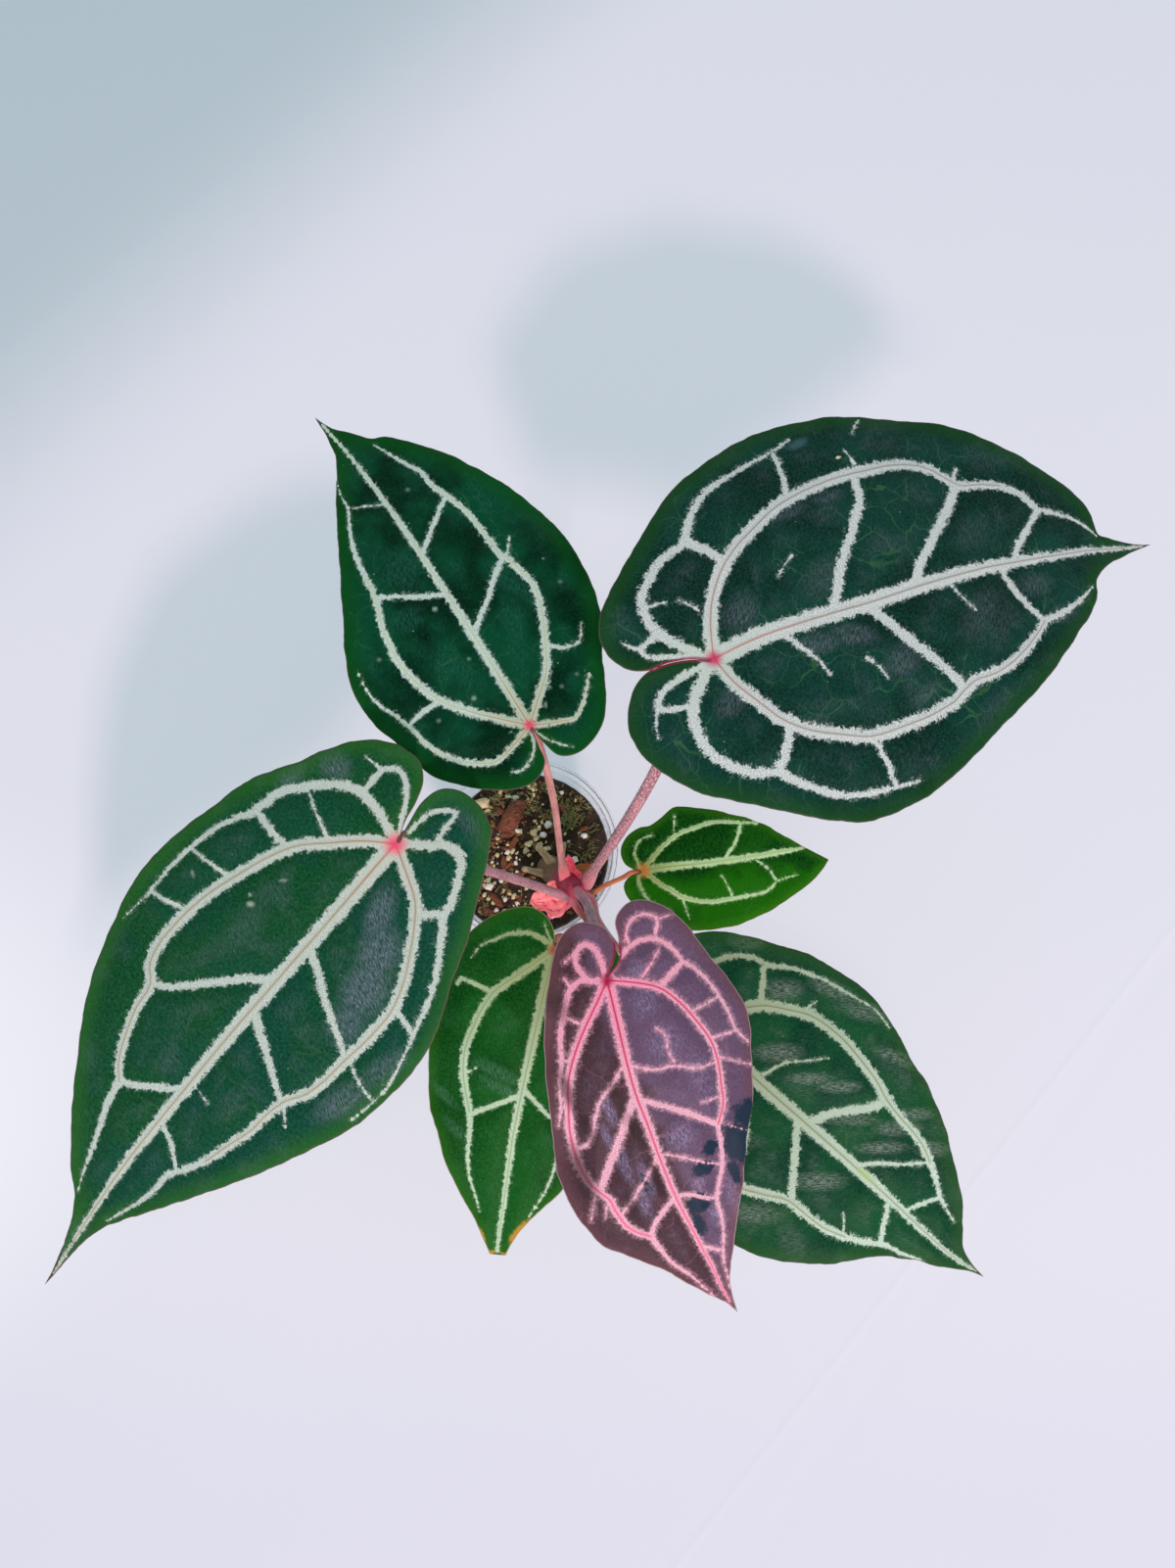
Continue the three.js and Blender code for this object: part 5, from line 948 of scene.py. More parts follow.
def build(name, points, faces, finish, slot, nodes=(), stored=()):
    """A piece from points in mm. stored holds what its material reads at each point."""
    mesh = bpy.data.meshes.new(name)
    mesh.from_pydata((np.asarray(points) * MM).tolist(), [], [list(face) for face in faces])
    mesh.shade_smooth()
    for key, values in dict(stored).items():
        values = np.asarray(values, np.float32)
        vector = values.ndim == 2
        attribute = mesh.attributes.new(key, "FLOAT_VECTOR" if vector else "FLOAT", "POINT")
        attribute.data.foreach_set("vector" if vector else "value", values.ravel())
    mesh.materials.append(finish)
    mesh.update()
    piece = placed(name, mesh)
    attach(piece, "root")
    if nodes:
        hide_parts(*nodes)


def tube(path, sizes, sides):
    """A closed tube along a path in mm, with a half width and a half depth at each point."""
    along = unit(np.gradient(path, axis=0))
    across = unit(np.cross((0, 0, 1), along))
    front = np.cross(along, across)
    angle = np.linspace(0, 2 * math.pi, sides, endpoint=False)
    wide, deep = np.array(sizes).T[:, :, None, None]
    points = (path[:, None] + wide * across[:, None] * np.cos(angle)[:, None]
              + deep * front[:, None] * np.sin(angle)[:, None])
    return points.reshape(-1, 3), rings_to_faces(len(path), sides)


def rings_to_faces(rings, sides):
    """Quads between rings of points, closed by a face at both ends."""
    faces = []
    for first in range(0, (rings - 1) * sides, sides):
        for k in range(sides):
            n = (k + 1) % sides
            faces.append((first + k, first + n, first + sides + n, first + sides + k))
    last = (rings - 1) * sides
    return faces + [tuple(reversed(range(sides))), tuple(range(last, last + sides))]


# Blades.
def bent(bend, x, y):
    """How far a place of the flat leaf stands above its plane, as in the model."""
    t = y / bend["length"]
    crease = 0.03 * bend["length"]
    left, right = bend["curl"]
    wave = np.sin(2 * math.pi * y / bend["step"] + bend["phase"] * np.sign(x))
    return (bend["arch"] * 4 * t * (1 - t) + bend["vee"] * (np.hypot(x, crease) - crease)
            - np.where(x < 0, left, right) * x * x / bend["width"]
            + bend["wave"] * (x / bend["width"]) ** 2 * wave)


def axes(leaf):
    """The leaf's junction and its axes: across, towards the tip, and up from the face."""
    heading, pitch, roll = (math.radians(leaf[key]) for key in ("heading", "pitch", "roll"))
    flat = math.cos(pitch)
    tip = np.array([math.sin(heading) * flat, math.cos(heading) * flat, math.sin(pitch)])
    level = np.array([math.cos(heading), -math.sin(heading), 0])
    across = level * math.cos(roll) - np.cross(level, tip) * math.sin(roll)
    return np.array(leaf["junction"]), across, tip, np.cross(across, tip)


def to_world(leaf, x, y, z):
    """Places over the flat leaf, as they stand on the plant."""
    junction, across, tip, up = axes(leaf)
    return junction + np.outer(x, across) + np.outer(y, tip) + np.outer(z, up)


def spots(flat, places):
    """How strongly each place is covered by soft spots (x, y, half width, half length, turn, strength)."""
    cover = np.zeros(len(flat))
    for x, y, wide, long, turn, strength in places:
        c, s = math.cos(math.radians(turn)), math.sin(math.radians(turn))
        dx, dy = (flat - (x, y)).T
        distance = np.hypot((c * dx + s * dy) / wide, (c * dy - s * dx) / long)
        cover = np.maximum(cover, strength * np.clip(1.6 - 1.6 * distance, 0, 1))
    return cover


def wavy(rim, length, seed):
    """The margin with its small waves, which die out at the tip and beside the sinus."""
    ahead = np.roll(rim, -1, axis=0) - np.roll(rim, 1, axis=0)
    out = unit(np.column_stack([ahead[:, 1], -ahead[:, 0]]))
    waves = np.array([0.6 * lumps(x, y, 9, seed) + 0.2 * lumps(x, y, 3, seed) for x, y in rim])
    calm = np.clip((np.hypot(*rim.T) - 28) / 20, 0, 1) * np.clip((length - rim[:, 1]) / 25, 0, 1)
    return rim + out * (waves * calm)[:, None]


def blade(leaf, seed):
    """A closed blade: a finely shaped face, a plainer underside, and a thin rounded margin."""
    spacing = min(1, max(0.6, leaf["bend"]["length"] / 190))
    rim = np.vstack([spline(leaf["right"], FINE)[:-1], spline(leaf["left"], FINE)[:-1]])[::-1]
    rim = rim[np.linalg.norm(rim - np.roll(rim, 1, axis=0), axis=1) > 0.2]
    rim = wavy(rim, leaf["bend"]["length"], seed)
    rows = strokes(leaf["veins"])
    drawn = np.vstack([spline(points, 0.8 * spacing) for _, _, *points in leaf["veins"]])
    lined = 0.58 * leaf["veins"][0][0]
    points, faces, edges, stored = [], [], [], []
    for side, step, lines in ((1, FINE * spacing, drawn), (-1, COARSE, ())):
        flat, triangles, border, margin = fill(rim, step, lines)
        x, y = flat.T
        edge, half, run, main_edge, middle = measure(flat, rows, MAIN_VEIN_WIDTH * spacing, lined)
        rise = PANEL_RISE * spacing * (1 - bell(np.maximum(main_edge, 0), PANEL_REACH))
        fine = SMALL_VEIN_DEPTH * (1 - bell(np.maximum(edge, 0), SMALL_VEIN_REACH))
        ridge = LINE_RISE * bell(middle, LINE_REACH)
        swell = np.array([0.55 * lumps(a, b, 26, seed) + 0.16 * lumps(a, b, 7, seed) for a, b in flat])
        height = bent(leaf["bend"], x, y) + rise + fine + ridge + swell
        slope_x = bent(leaf["bend"], x + 0.5, y) - bent(leaf["bend"], x - 0.5, y)
        slope_y = bent(leaf["bend"], x, y + 0.5) - bent(leaf["bend"], x, y - 0.5)
        out = unit(np.column_stack([-slope_x, -slope_y, np.ones(len(x))]))
        thick = BLADE_THICKNESS * (0.25 + 0.75 * (1 - np.exp(-margin / 1.2)))
        local = np.column_stack([x, y, height]) + side * out * thick[:, None] / 2
        first = sum(map(len, points))
        points.append(to_world(leaf, *local.T))
        faces += [tuple(first + v for v in (face if side > 0 else face[::-1])) for face in triangles.tolist()]
        edges.append([first + v for v in border])
        stored.append({
            "flat": np.column_stack([x, y, np.full(len(x), 10.0 * seed)]), "edge": edge, "width": 2 * half,
            "along": run, "middle": middle, "rim": margin, "upper": np.full(len(x), 1.0 if side > 0 else 0.0),
            **{kind: spots(flat, leaf.get(kind, ())) for kind in ("worn", "mark", "painted_sheen_spots")},
        })
    top, under = edges
    for i in range(len(top)):
        n = (i + 1) % len(top)
        faces.append((top[i], under[i], under[n], top[n]))
    together = {key: np.concatenate([stored[0][key], stored[1][key]]) for key in stored[0]}
    return np.vstack(points), faces, together


def petiole(leaf):
    """A petiole from inside the stem to the underside of its blade, with a sheath at its foot and a knee."""
    radius, wing = leaf["petiole"]["radius"], leaf["petiole"]["wing"]
    drop = np.array([0.5 * SEAT_THICKNESS + radius + 3.6, 0.5 * BLADE_THICKNESS + 0.86 * radius])
    ends = to_world(leaf, np.zeros(2), np.array([-6, 2]), -drop)
    path = spline([*leaf["petiole"]["points"], *ends], 1.5)
    run = np.concatenate([[0], np.cumsum(np.linalg.norm(np.diff(path, axis=0), axis=1))])
    left = run[-1] - run
    sheath = 1 / (1 + np.exp((run - SHEATH_LENGTH) / 3.5))
    slender = 0.94 - leaf["petiole"].get("slender", 0.12) * np.exp(-run / 30)
    deep = radius * (slender + 0.1 * bell(run, FOOT_REACH) + 0.16 * bell(left, KNEE_REACH))
    points, faces = tube(path, np.column_stack([deep + radius * wing * sheath, deep]), PETIOLE_SIDES)
    turn = np.tile(np.arange(PETIOLE_SIDES) / PETIOLE_SIDES, len(path))
    run, left = (np.repeat(length, PETIOLE_SIDES) for length in (run, left))
    return points, faces, {"run": run, "left": left, "turn": turn}


def petiole_material(name, look):
    """Living petiole: a smooth waxy skin, flushed red, with fine pale flecks drawn out along it."""
    made, tree, shader = material(name, IOR=1.42, Roughness=0.42, Subsurface_Weight=0.08,
                                  Subsurface_Scale=2 * MM, Coat_Weight=0.12, Coat_Roughness=0.3)
    run, left, turn = (
        add(tree, "Attribute", attribute_name=key).outputs["Fac"] for key in ("run", "left", "turn"))
    at = add(tree, "CombineXYZ", [add(tree, "Math", [run, 0.35], operation="MULTIPLY"),
                                  add(tree, "Math", [turn, 16.0], operation="MULTIPLY")])
    flecks = add(tree, "TexNoise", [at, 1.6, 4.0, 0.8])
    clouds = add(tree, "TexNoise", [at, 0.25, 2.0, 0.5])
    skin = look["skin"]
    coats = (("shade", [clouds, 0.35, 0.65]), ("fleck", [flecks, 0.47, 0.62, 0.0, look["flecked"]]),
             ("foot", [run, 6.0, 24.0, 0.75, 0.0]), ("knee", [left, 2.0, 16.0, 0.6, 0.0]))
    for over, limits in coats:
        skin = add(tree, "Mix", [add(tree, "MapRange", limits, **FADE), skin, look[over]], **COLOURS)
    surface(tree, shader, flecks, 0.25, 0.5, Base_Color=skin)
    return made


DUSTY = {
    "slot": "petiole_dusty_pink", "skin": "B87880", "shade": "9A6068", "fleck": "D8B0B0", "flecked": 0.6,
    "foot": "D890A0", "knee": "C84A6A",
}
PETIOLE_LOOKS = {
    "upper_left": {
        **DUSTY, "slot": "petiole_salmon", "skin": "CC8C82", "shade": "A46A60", "foot": "EC7C88",
        "knee": "C1465A",
    },
    "upper_right": {
        **DUSTY, "skin": "AA6672", "shade": "864858", "fleck": "ECD0CC", "flecked": 0.9, "foot": "D88A98",
    },
    "left": {**DUSTY, "skin": "AC7E86", "shade": "8C6068"},
    "right_small": {
        **DUSTY, "slot": "petiole_orange_brown", "skin": "D08450", "shade": "B06840", "flecked": 0.2,
        "foot": "A06840", "knee": "B8683A",
    },
    "lower_middle": {
        **DUSTY, "slot": "petiole_salmon", "skin": "B86A5A", "shade": "9A5646", "knee": "A8684A",
    },
    "new_purple": {**DUSTY, "slot": "petiole_mauve", "skin": "B08A98", "shade": "7A5A68", "knee": "A01848"},
    "lower_right": {
        **DUSTY, "slot": "petiole_salmon", "skin": "C08088", "shade": "A86A72", "knee": "A8684A",
    },
}


def bract_material(name, skin, fold, vein):
    """Papery bract, veined along its length, with painted shade in streaks that stand for its folds. It glows
    faintly in its own colour, a painted light for the light that shines through it.
    """
    made, tree, shader = material(name, IOR=1.4, Roughness=0.5, Subsurface_Weight=0.2,
                                  Subsurface_Scale=2 * MM, Emission_Strength=0.22)
    along, across = (add(tree, "Attribute", attribute_name=key).outputs["Fac"] for key in ("run", "turn"))
    at = add(tree, "CombineXYZ", [along, add(tree, "Math", [across, 9.0], operation="MULTIPLY")])
    lines = add(tree, "TexNoise", [at, 1.8, 3.0, 0.65])
    fold_shading = add(tree, "TexNoise", [at, 0.45, 2.0, 0.5])
    # Painted shade: darker streaks across the bract that stand for its folds.
    colour = add(tree, "Mix", [add(tree, "MapRange", [fold_shading, 0.52, 0.68]), skin, fold], **COLOURS)
    veins = add(tree, "MapRange", [lines, 0.5, 0.75, 0.0, 0.6])
    colour = add(tree, "Mix", [veins, colour, vein], **COLOURS)
    surface(tree, shader, lines, 0.6, 0.6, Base_Color=colour, Emission_Color=colour)
    return made


def grained(name, colours, grain, rough, depth, stretch=(1, 1, 1), top=None):
    """A matt natural surface: three colours in grains of a size in mm, which also roughen it.
    top is a colour that takes over between two heights in mm."""
    made, tree, shader = material(name)
    place = add(tree, "TexCoord").outputs["Object"]
    scaled = add(tree, "VectorMath", [place, [s / grain / MM for s in stretch]], operation="MULTIPLY")
    fine = add(tree, "TexNoise", [scaled, 1.0, 4.0, 0.65])
    cells = add(tree, "TexVoronoi", [scaled, 0.8])
    colour = add(tree, "Mix", [add(tree, "MapRange", [fine, 0.35, 0.65]), *colours[:2]], **COLOURS)
    specks = add(tree, "MapRange", [cells.outputs["Distance"], 0.05, 0.3, 0.7, 0.0])
    colour = add(tree, "Mix", [specks, colour, colours[2]], **COLOURS)
    if top:
        top_colour, low, high = top
        up = add(tree, "SeparateXYZ", [place]).outputs["Z"]
        risen = add(tree, "MapRange", [up, low * MM, high * MM])
        colour = add(tree, "Mix", [risen, colour, top_colour], **COLOURS)
    roughness = add(tree, "MapRange", [fine, 0.3, 0.7, rough - 0.12, rough + 0.08])
    surface(tree, shader, fine, depth, grain * 0.5, Base_Color=colour, Roughness=roughness)
    return made


# Blades and petioles.
for order, leaf in enumerate(LEAVES):
    name = leaf["name"]
    points, faces, stored = blade(leaf, order + 1)
    look, piece = LOOKS[name], "velvet_blade_" + name
    build(piece, points, faces, leaf_material(piece, look), look["slot"], ["blade_" + name], stored)
    points, faces, stored = petiole(leaf)
    look, piece = PETIOLE_LOOKS[name], "waxy_petiole_" + name
    build(piece, points, faces, petiole_material(piece, look), look["slot"], ["petiole_" + name], stored)


def bract(foot, tip, width, cup, ruffle, seed, blunt):
    """A pointed papery sheet, cupped towards its middle line, with ruffled sides and creases. The
    blunter it is, the nearer to its tip it starts to narrow."""
    start, along = np.array(foot, float), np.subtract(tip, foot)
    across = np.cross(along, (0.0, 0, 1))
    across /= np.linalg.norm(across)
    out = np.cross(across, along)
    out /= np.linalg.norm(out)
    rows, columns = 36, 30
    points, run, turn = [], [], []
    for t in np.linspace(0, 1, rows):
        swell = 0.55 + 0.45 * math.sin(math.pi * min(1, 1.5 * t))
        half = width / 2 * swell * math.sqrt(max(0.02, 1 - t ** blunt))
        for side, line in ((1, np.linspace(-1, 1, columns)), (-1, np.linspace(1, -1, columns))):
            for v in line:
                crease = 0.9 * ruffle * noise.noise(Vector((4 * v, 1.5 * t, seed)))
                lift = cup * v * v + ruffle * abs(v) * math.sin(9 * t + 2 * v) + crease
                points.append(start + along * t + across * half * v + out * (lift + side * 0.22))
                run.append(10 * t)
                turn.append(v)
    return points, rings_to_faces(rows, 2 * columns), {"run": run, "turn": turn}


# The slot of each bract, and the colours of its skin, of the painted shade in its folds, and of its veins.
BRACT_LOOKS = {
    "coral": ("coral_bract", "FF9498", "B82446", "FFC0C0"),
    "scarlet": ("scarlet_bract", "F0667C", "B8284A", "FF9CA8"),
    "pink": ("coral_bract", "F08CA0", "C03858", "FFB8C4"),
    "brown": ("dry_brown", "8A5A34", "5A3820", "B08858"),
}
for order, (name, *shape) in enumerate(BRACTS):
    slot, *colours = BRACT_LOOKS[name]
    points, faces, stored = bract(*shape, order, 3 if name == "brown" else 9)
    piece = "papery_bract_" + name
    build(piece, points, faces, bract_material(piece, *colours), slot, ["bract_" + name], stored)

# The stem, with scars of old leaves, and dry stubs on it. The cork is matt and cracked, brown with paler
# ridges. Its top is painted crimson, partly for the red sheaths round it and partly as painted shade among
# them.
# The stubs are bleached to straw.
path = spline(STEM_PATH, 0.6)
t = np.linspace(0, 1, len(path))
scars = 0.45 * np.abs(np.sin(t * math.pi * 11)) ** 6
radius = (STEM_RADIUS - 0.3 - 1.2 * t + scars) * (1 - 0.35 * t ** 6)
points, faces = tube(path, np.column_stack([radius, radius]), 48)
cork = grained("corky_stem", ("6E5040", "8A6A58", "A88A70"), 1.6, 0.8, 0.8, top=("A83C58", 99, 107))
build("corky_stem", uneven(points, 0.3, 2.5), faces, cork, "stem", ["stem"])
straw = grained("dry_stub_fibre", ("CCBE98", "9A8862", "E4DAB8"), 1.2, 0.85, 0.9)
for name, foot, tip, radius in STUBS:
    t = np.linspace(0, 1, 16)
    size = radius * (1 - 0.4 * t) * (1 + 0.08 * np.sin(9 * t))
    points, faces = tube(np.linspace(foot, tip, 16), np.column_stack([size, 0.8 * size]), 18)
    build("dry_" + name, uneven(points, 0.35, 1.5), faces, straw, "dry_brown", [name])


# The potting mix: a crumbly top, and a packed side behind the clear wall. Damp peat is nearly black,
# with brown fibres that catch the light.
def wall_radius(z):
    """The pot's outer radius at a height."""
    return POT_BASE_RADIUS + (POT_SHOULDER_RADIUS - POT_BASE_RADIUS) * z / POT_SHOULDER_HEIGHT


def soil_top(x, y):
    """The height of the smoothed mix at a place."""
    return SOIL_HEIGHT - SOIL_EDGE_DROP * (math.hypot(x, y) / SOIL_EDGE_RADIUS) ** 4


circle = np.linspace(0, 2 * math.pi, SOIL_SIDES, endpoint=False)
flat, triangles, border, _ = fill(SOIL_RADIUS * np.column_stack([np.cos(circle), np.sin(circle)]), SOIL_GRAIN)
points = []
for x, y in flat:
    grains = noise.voronoi(Vector((x / 2.6, y / 2.6, 0.3)))[0][0]
    rolling = lumps(x, y, 9, 4)
    crumb = lumps(x, y, 1.3, 2)
    points.append((x, y, soil_top(x, y) + 1.3 * (0.45 - grains) + 1.1 * rolling + 0.35 * crumb))
faces = [tuple(face) for face in triangles]
rings = [border]
for z in np.linspace(SOIL_HEIGHT - 5, POT_FLOOR + 0.4, 56):
    rings.append(list(range(len(points), len(points) + SOIL_SIDES)))
    for a in circle:
        pits = 0.5 * abs(noise.noise(Vector((8 * math.cos(a), 8 * math.sin(a), z / 4))))
        r = wall_radius(z) - POT_WALL - 0.35 - pits
        points.append((r * math.cos(a), r * math.sin(a), z))
for upper, lower in zip(rings, rings[1:]):
    faces += [(upper[k - 1], lower[k - 1], lower[k], upper[k]) for k in range(SOIL_SIDES)]
faces.append(tuple(rings[-1][::-1]))
peat = grained("damp_peat_and_coir", ("1C120A", "3A2818", "705838"), 2.6, 0.75, 1.0)
build("damp_potting_mix", points, faces, peat, "potting_mix", ["soil"])


# Loose bits on the mix: lumps with a rough skin, each turned its own way, joined into one piece a kind.
def ball():
    """The points and faces of a round ball of radius 1."""
    shape = bmesh.new()
    bmesh.ops.create_icosphere(shape, subdivisions=2, radius=1)
    shape.verts.ensure_lookup_table()
    points = np.array([v.co for v in shape.verts])
    faces = [[v.index for v in f.verts] for f in shape.faces]
    shape.free()
    return points, faces


BALL = ball()


def scattered(count, low, high, shape, rough, reach, seed, first=()):
    """Lumps at places drawn over the mix, clear of the stem and fewer on its right, after those at
    the first places, which are x, y, size and turn."""
    draw = random.Random(seed)
    points, faces = [], []
    ball_points, ball_faces = BALL
    places = list(first)
    while len(places) < count + len(first):
        r, a = reach * math.sqrt(draw.random()), 2 * math.pi * draw.random()
        x, y = r * math.cos(a), r * math.sin(a)
        common = 0.25 + 0.75 / (1 + math.exp((x - 12) / 5))
        if math.dist((x, y), STEM_IN_SOIL) > STEM_RADIUS + 2 and draw.random() < common:
            places.append((x, y, low + (high - low) * draw.random() ** 2, 360 * draw.random()))
    for number, (x, y, size, turn) in enumerate(places):
        skin = np.array([
            1 + rough * noise.noise(Vector(p) * 1.7 + Vector((7 * number, seed, 0)))
            + 0.4 * rough * noise.noise(Vector(p) * 4.5 + Vector((0, 5 * number, seed)))
            for p in ball_points])
        body = ball_points * skin[:, None] * size / 2 * np.array(shape)
        tip = Euler((draw.uniform(-0.35, 0.35), draw.uniform(-0.35, 0.35), math.radians(turn))).to_matrix()
        body = body @ np.array(tip).T
        lift = soil_top(x, y) + 0.3 * size * shape[2]
        faces += [tuple(len(points) + v for v in face) for face in ball_faces]
        points += list(body + (x, y, lift))
    return points, faces


# Perlite is puffed volcanic glass, chalky white. Pumice is cream with open pores, fir bark splits
# into red-brown plates along its grain, and coir is dull tan fibre.
perlite = grained("expanded_perlite", ("FFFEFA", "DEDCD2", "FFFFFF"), 0.9, 0.9, 0.6)
pumice = grained("pumice", ("F0E6B8", "C8BC88", "FFF8DC"), 1.1, 0.9, 0.8)
bark = grained("fir_bark", ("8A5238", "5A3020", "B47850"), 1.6, 0.8, 0.9, (0.4, 1, 1))
coir = grained("coir_and_peat_bits", ("A07A4C", "644628", "CCAE78"), 1.4, 0.85, 0.9)
WHITE = [(-21.9, -19.8, 5.2, 20), (11.9, 16.3, 4.8, 70), (33.1, 9.9, 3.8, 0), (26.8, -4.4, 4.6, 0),
         (-11.9, 0.2, 3.4, 50), (10.3, 1.9, 3.4, 20), (-6.1, -11.3, 2.4, 0), (-15.2, -16.9, 2.6, 0),
         (-2.2, -10.7, 2.2, 0)]
CREAM = [(3.4, 11.7, 5, 30), (6.2, 14.6, 3.6, 80), (0.6, 4.8, 4.6, 10), (5.1, 8.2, 4.2, 50),
         (7.4, 4.8, 3.6, 0), (-1.1, 1.3, 4.4, 70), (-26.5, 29, 9, 10), (-13.2, -33.9, 3.4, 0),
         (-7.7, -25.4, 3.6, 40)]
CHIPS = [(-10, 19.5, 26, 52), (32.5, 14, 7, 20), (20.4, 26, 9, 130)]
build("perlite_grains", *scattered(26, 1.4, 4.4, (1, 0.85, 0.75), 0.55, 44, 3, WHITE), perlite, "potting_mix")
build("pumice_grains", *scattered(210, 1.0, 3.6, (1, 0.75, 0.65), 0.7, 44, 11, CREAM), pumice, "potting_mix")
build("bark_chips", *scattered(44, 4.0, 12.0, (1, 0.4, 0.24), 0.5, 43, 23, CHIPS), bark, "potting_mix")
build("coir_and_peat_bits", *scattered(260, 1.2, 4.2, (1, 0.6, 0.5), 0.6, 45, 31), coir, "potting_mix")

# Moss: short curved strands in tufts near the wall, dull yellow-green with pale tips.
draw = random.Random(5)
points, faces = [], []
for tuft in range(60):
    a, r = math.radians(draw.gauss(70, 70)), draw.uniform(24, 44)
    for strand in range(9):
        x, y = r * math.cos(a) + draw.gauss(0, 2.2), r * math.sin(a) + draw.gauss(0, 2.2)
        if math.hypot(x, y) > 45:
            continue
        way = np.array([draw.uniform(-1, 1), draw.uniform(-1, 1), draw.uniform(0.2, 0.8)])
        length = draw.uniform(2.5, 6)
        foot = np.array([x, y, soil_top(x, y) - 0.3])
        line = [foot, foot + way * length * 0.5, foot + way * length + (0, 0, -0.25 * length)]
        path = spline(line, 0.8)
        size = np.linspace(0.34, 0.1, len(path))
        more, quads = tube(path, np.column_stack([size, size]), 5)
        faces += [tuple(len(points) + v for v in quad) for quad in quads]
        points += list(more)
moss = grained("living_moss", ("A4A870", "5E6C30", "C8CC9A"), 0.8, 0.75, 0.5)
build("moss_tufts", points, faces, moss, "potting_mix")

# The pot: clear moulded plastic, so thin that it hardly bends the light and only its edges show.
clear = material("clear_polypropylene", Base_Color="FFFFFF", IOR=1.04, Roughness=0.25,
                 Transmission_Weight=0.95)[0]
pot_materials = bpy.data.objects["pot"].data.materials
pot_materials.clear()
pot_materials.append(clear)

# The stage, in metres: matt white paper with painted light. It glows, so the shade under the leaves stays
# faint, and it is painted darker and bluer away from the light, dimmer at the near side and brighter in a
# painted pool of light left of the pot. It has soft folds, each with a place on it, its turn in degrees, its
# half width and its depth.
PAPER_HALF = 3
PAPER_Z = -0.0003
FOLDS = [(0.30, -0.17, 49, 0.004, 0.05), (0.22, -0.3, 52, 0.012, -0.05), (-0.30, 0.43, 41, 0.02, 0.06)]
paper, tree, shader = material("matt_white_paper", Roughness=0.9, Specular_IOR_Level=0.1,
                               Emission_Strength=1.0)
place = add(tree, "TexCoord").outputs["Object"]
slope = add(tree, "VectorMath", [place, (-1, 1, 0)], operation="DOT_PRODUCT")
far = add(tree, "MapRange", [slope, 0.52, 0.82, 0, 1], **FADE)
dimmed_near_side = add(tree, "MapRange", [add(tree, "SeparateXYZ", [place]).outputs["Y"], -0.2, -0.42, 0, 1], **FADE)
painted_light_pool = add(tree, "VectorMath", [place, (-0.42, -0.14, 0)], operation="DISTANCE")
painted_light_pool = add(tree, "MapRange", [painted_light_pool, 0.06, 0.22, 1, 0], **FADE)
# Painted light and shade: the paper's colour and glow fade away from the light and at the near side, and the
# glow is stronger in a pool left of the pot.
tone = add(tree, "Mix", [far, "B0ABB0", "94999C"], **COLOURS)
painted_glow = add(tree, "Mix", [far, "9CA8B0", "7C9199"], **COLOURS)
painted_glow = add(tree, "Mix", [dimmed_near_side, painted_glow, "909EAA"], **COLOURS)
painted_glow = add(tree, "Mix", [painted_light_pool, painted_glow, "AEBABF"], **COLOURS)
creases = add(tree, "TexNoise", [place, 2.2, 3.0, 0.5])
for x, y, turn, wide, deep in FOLDS:
    out = (math.sin(math.radians(turn)), -math.cos(math.radians(turn)), 0)
    off = add(tree, "VectorMath", [place, (x, y, 0)], operation="SUBTRACT")
    off = add(tree, "VectorMath", [off, out], operation="DOT_PRODUCT")
    off = add(tree, "Math", [off], operation="ABSOLUTE")
    fold = add(tree, "MapRange", [off, 0.0, wide, deep, 0.0], **FADE)
    creases = add(tree, "Math", [creases, fold], operation="ADD")
surface(tree, shader, creases, 0.25, 20, Base_Color=tone, Emission_Color=painted_glow)
mesh = bpy.data.meshes.new("floor")
corners = [(x * PAPER_HALF, y * PAPER_HALF, PAPER_Z) for x, y in ((-1, -1), (1, -1), (1, 1), (-1, 1))]
mesh.from_pydata(corners, [], [(0, 1, 2, 3)])
mesh.materials.append(paper)
floor = placed("floor", mesh)


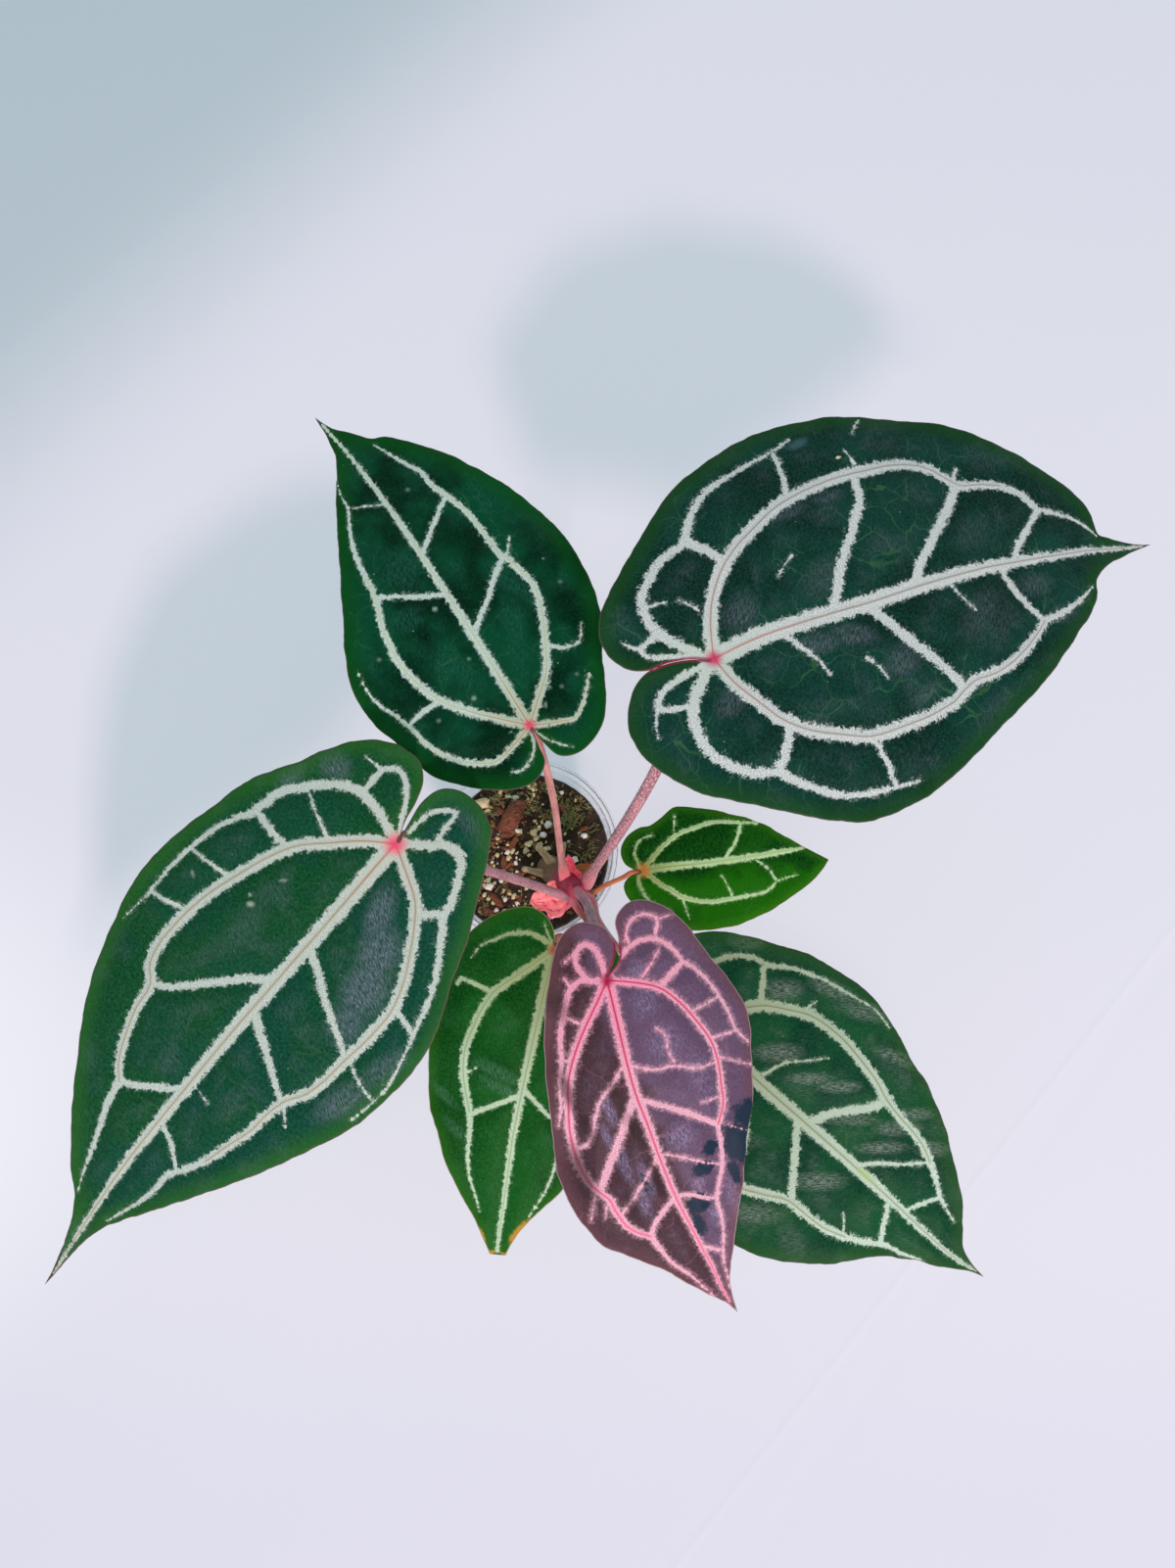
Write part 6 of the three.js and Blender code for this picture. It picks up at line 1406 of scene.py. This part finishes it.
# The light, in metres and watts: a warm window low on the near side, and a room brightest low down.
WINDOW_FROM = Vector((0.209, -0.713, 0.669))
WINDOW_DISTANCE = 3.4
LIT_PLACE = Vector((0.03, -0.02, 0.15))
CEILING_AT = (0.035, -0.23, 1.6)


def lamp(name, size, energy, colour):
    """A round lamp."""
    light = bpy.data.lights.new(name, "AREA")
    light.shape = "DISK"
    light.size = size
    light.energy = energy
    light.color = colour
    return placed(name, light)


window = lamp("window", 0.4, 84, (1.0, 0.7, 0.74))
window.location = LIT_PLACE + WINDOW_DISTANCE * WINDOW_FROM
window.rotation_euler = WINDOW_FROM.to_track_quat("Z", "Y").to_euler()

# Only the two highest leaves throw a shadow of this lamp on the paper.
casting = bpy.data.collections.new("casting_shadows")
for piece in bpy.context.scene.collection.objects:
    is_blade = piece.name.startswith("velvet_blade")
    if piece.type == "MESH" and (not is_blade or piece.name.endswith(("upper_right", "blade_left"))):
        casting.objects.link(piece)
window.light_linking.blocker_collection = casting

# The light that a pale ceiling gives back from above the camera.
ceiling = lamp("ceiling", 0.5, 4, (1.0, 0.96, 0.92))
ceiling.location = CEILING_AT
ceiling.rotation_euler = (math.radians(CAMERA_TILT), 0, 0)
ceiling.visible_glossy = False

world = bpy.data.worlds.new("room")
world.use_nodes = True
sky = world.node_tree.nodes["Background"]
way = add(world.node_tree, "SeparateXYZ", [add(world.node_tree, "TexCoord").outputs["Generated"]])
low = add(world.node_tree, "MapRange", [way.outputs["Z"], 0.0, 1.0, 1.0, 0.25])
world.node_tree.links.new(low.outputs[0], sky.inputs["Strength"])
sky.inputs["Color"].default_value = (0.76, 0.9, 1.0, 1)
bpy.context.scene.world = world

eye = bpy.data.cameras.new("camera")
eye.sensor_fit = "HORIZONTAL"
eye.lens = eye.sensor_width * FOCAL_PIXELS / IMAGE_WIDTH
eye.clip_start = 0.01
camera = placed("camera", eye)
camera.location = [c * MM for c in CAMERA_AT]
camera.rotation_euler = (math.radians(CAMERA_TILT), 0, 0)
bpy.context.scene.camera = camera

bpy.context.scene.view_settings.view_transform = "Standard"
bpy.context.view_layer.update()
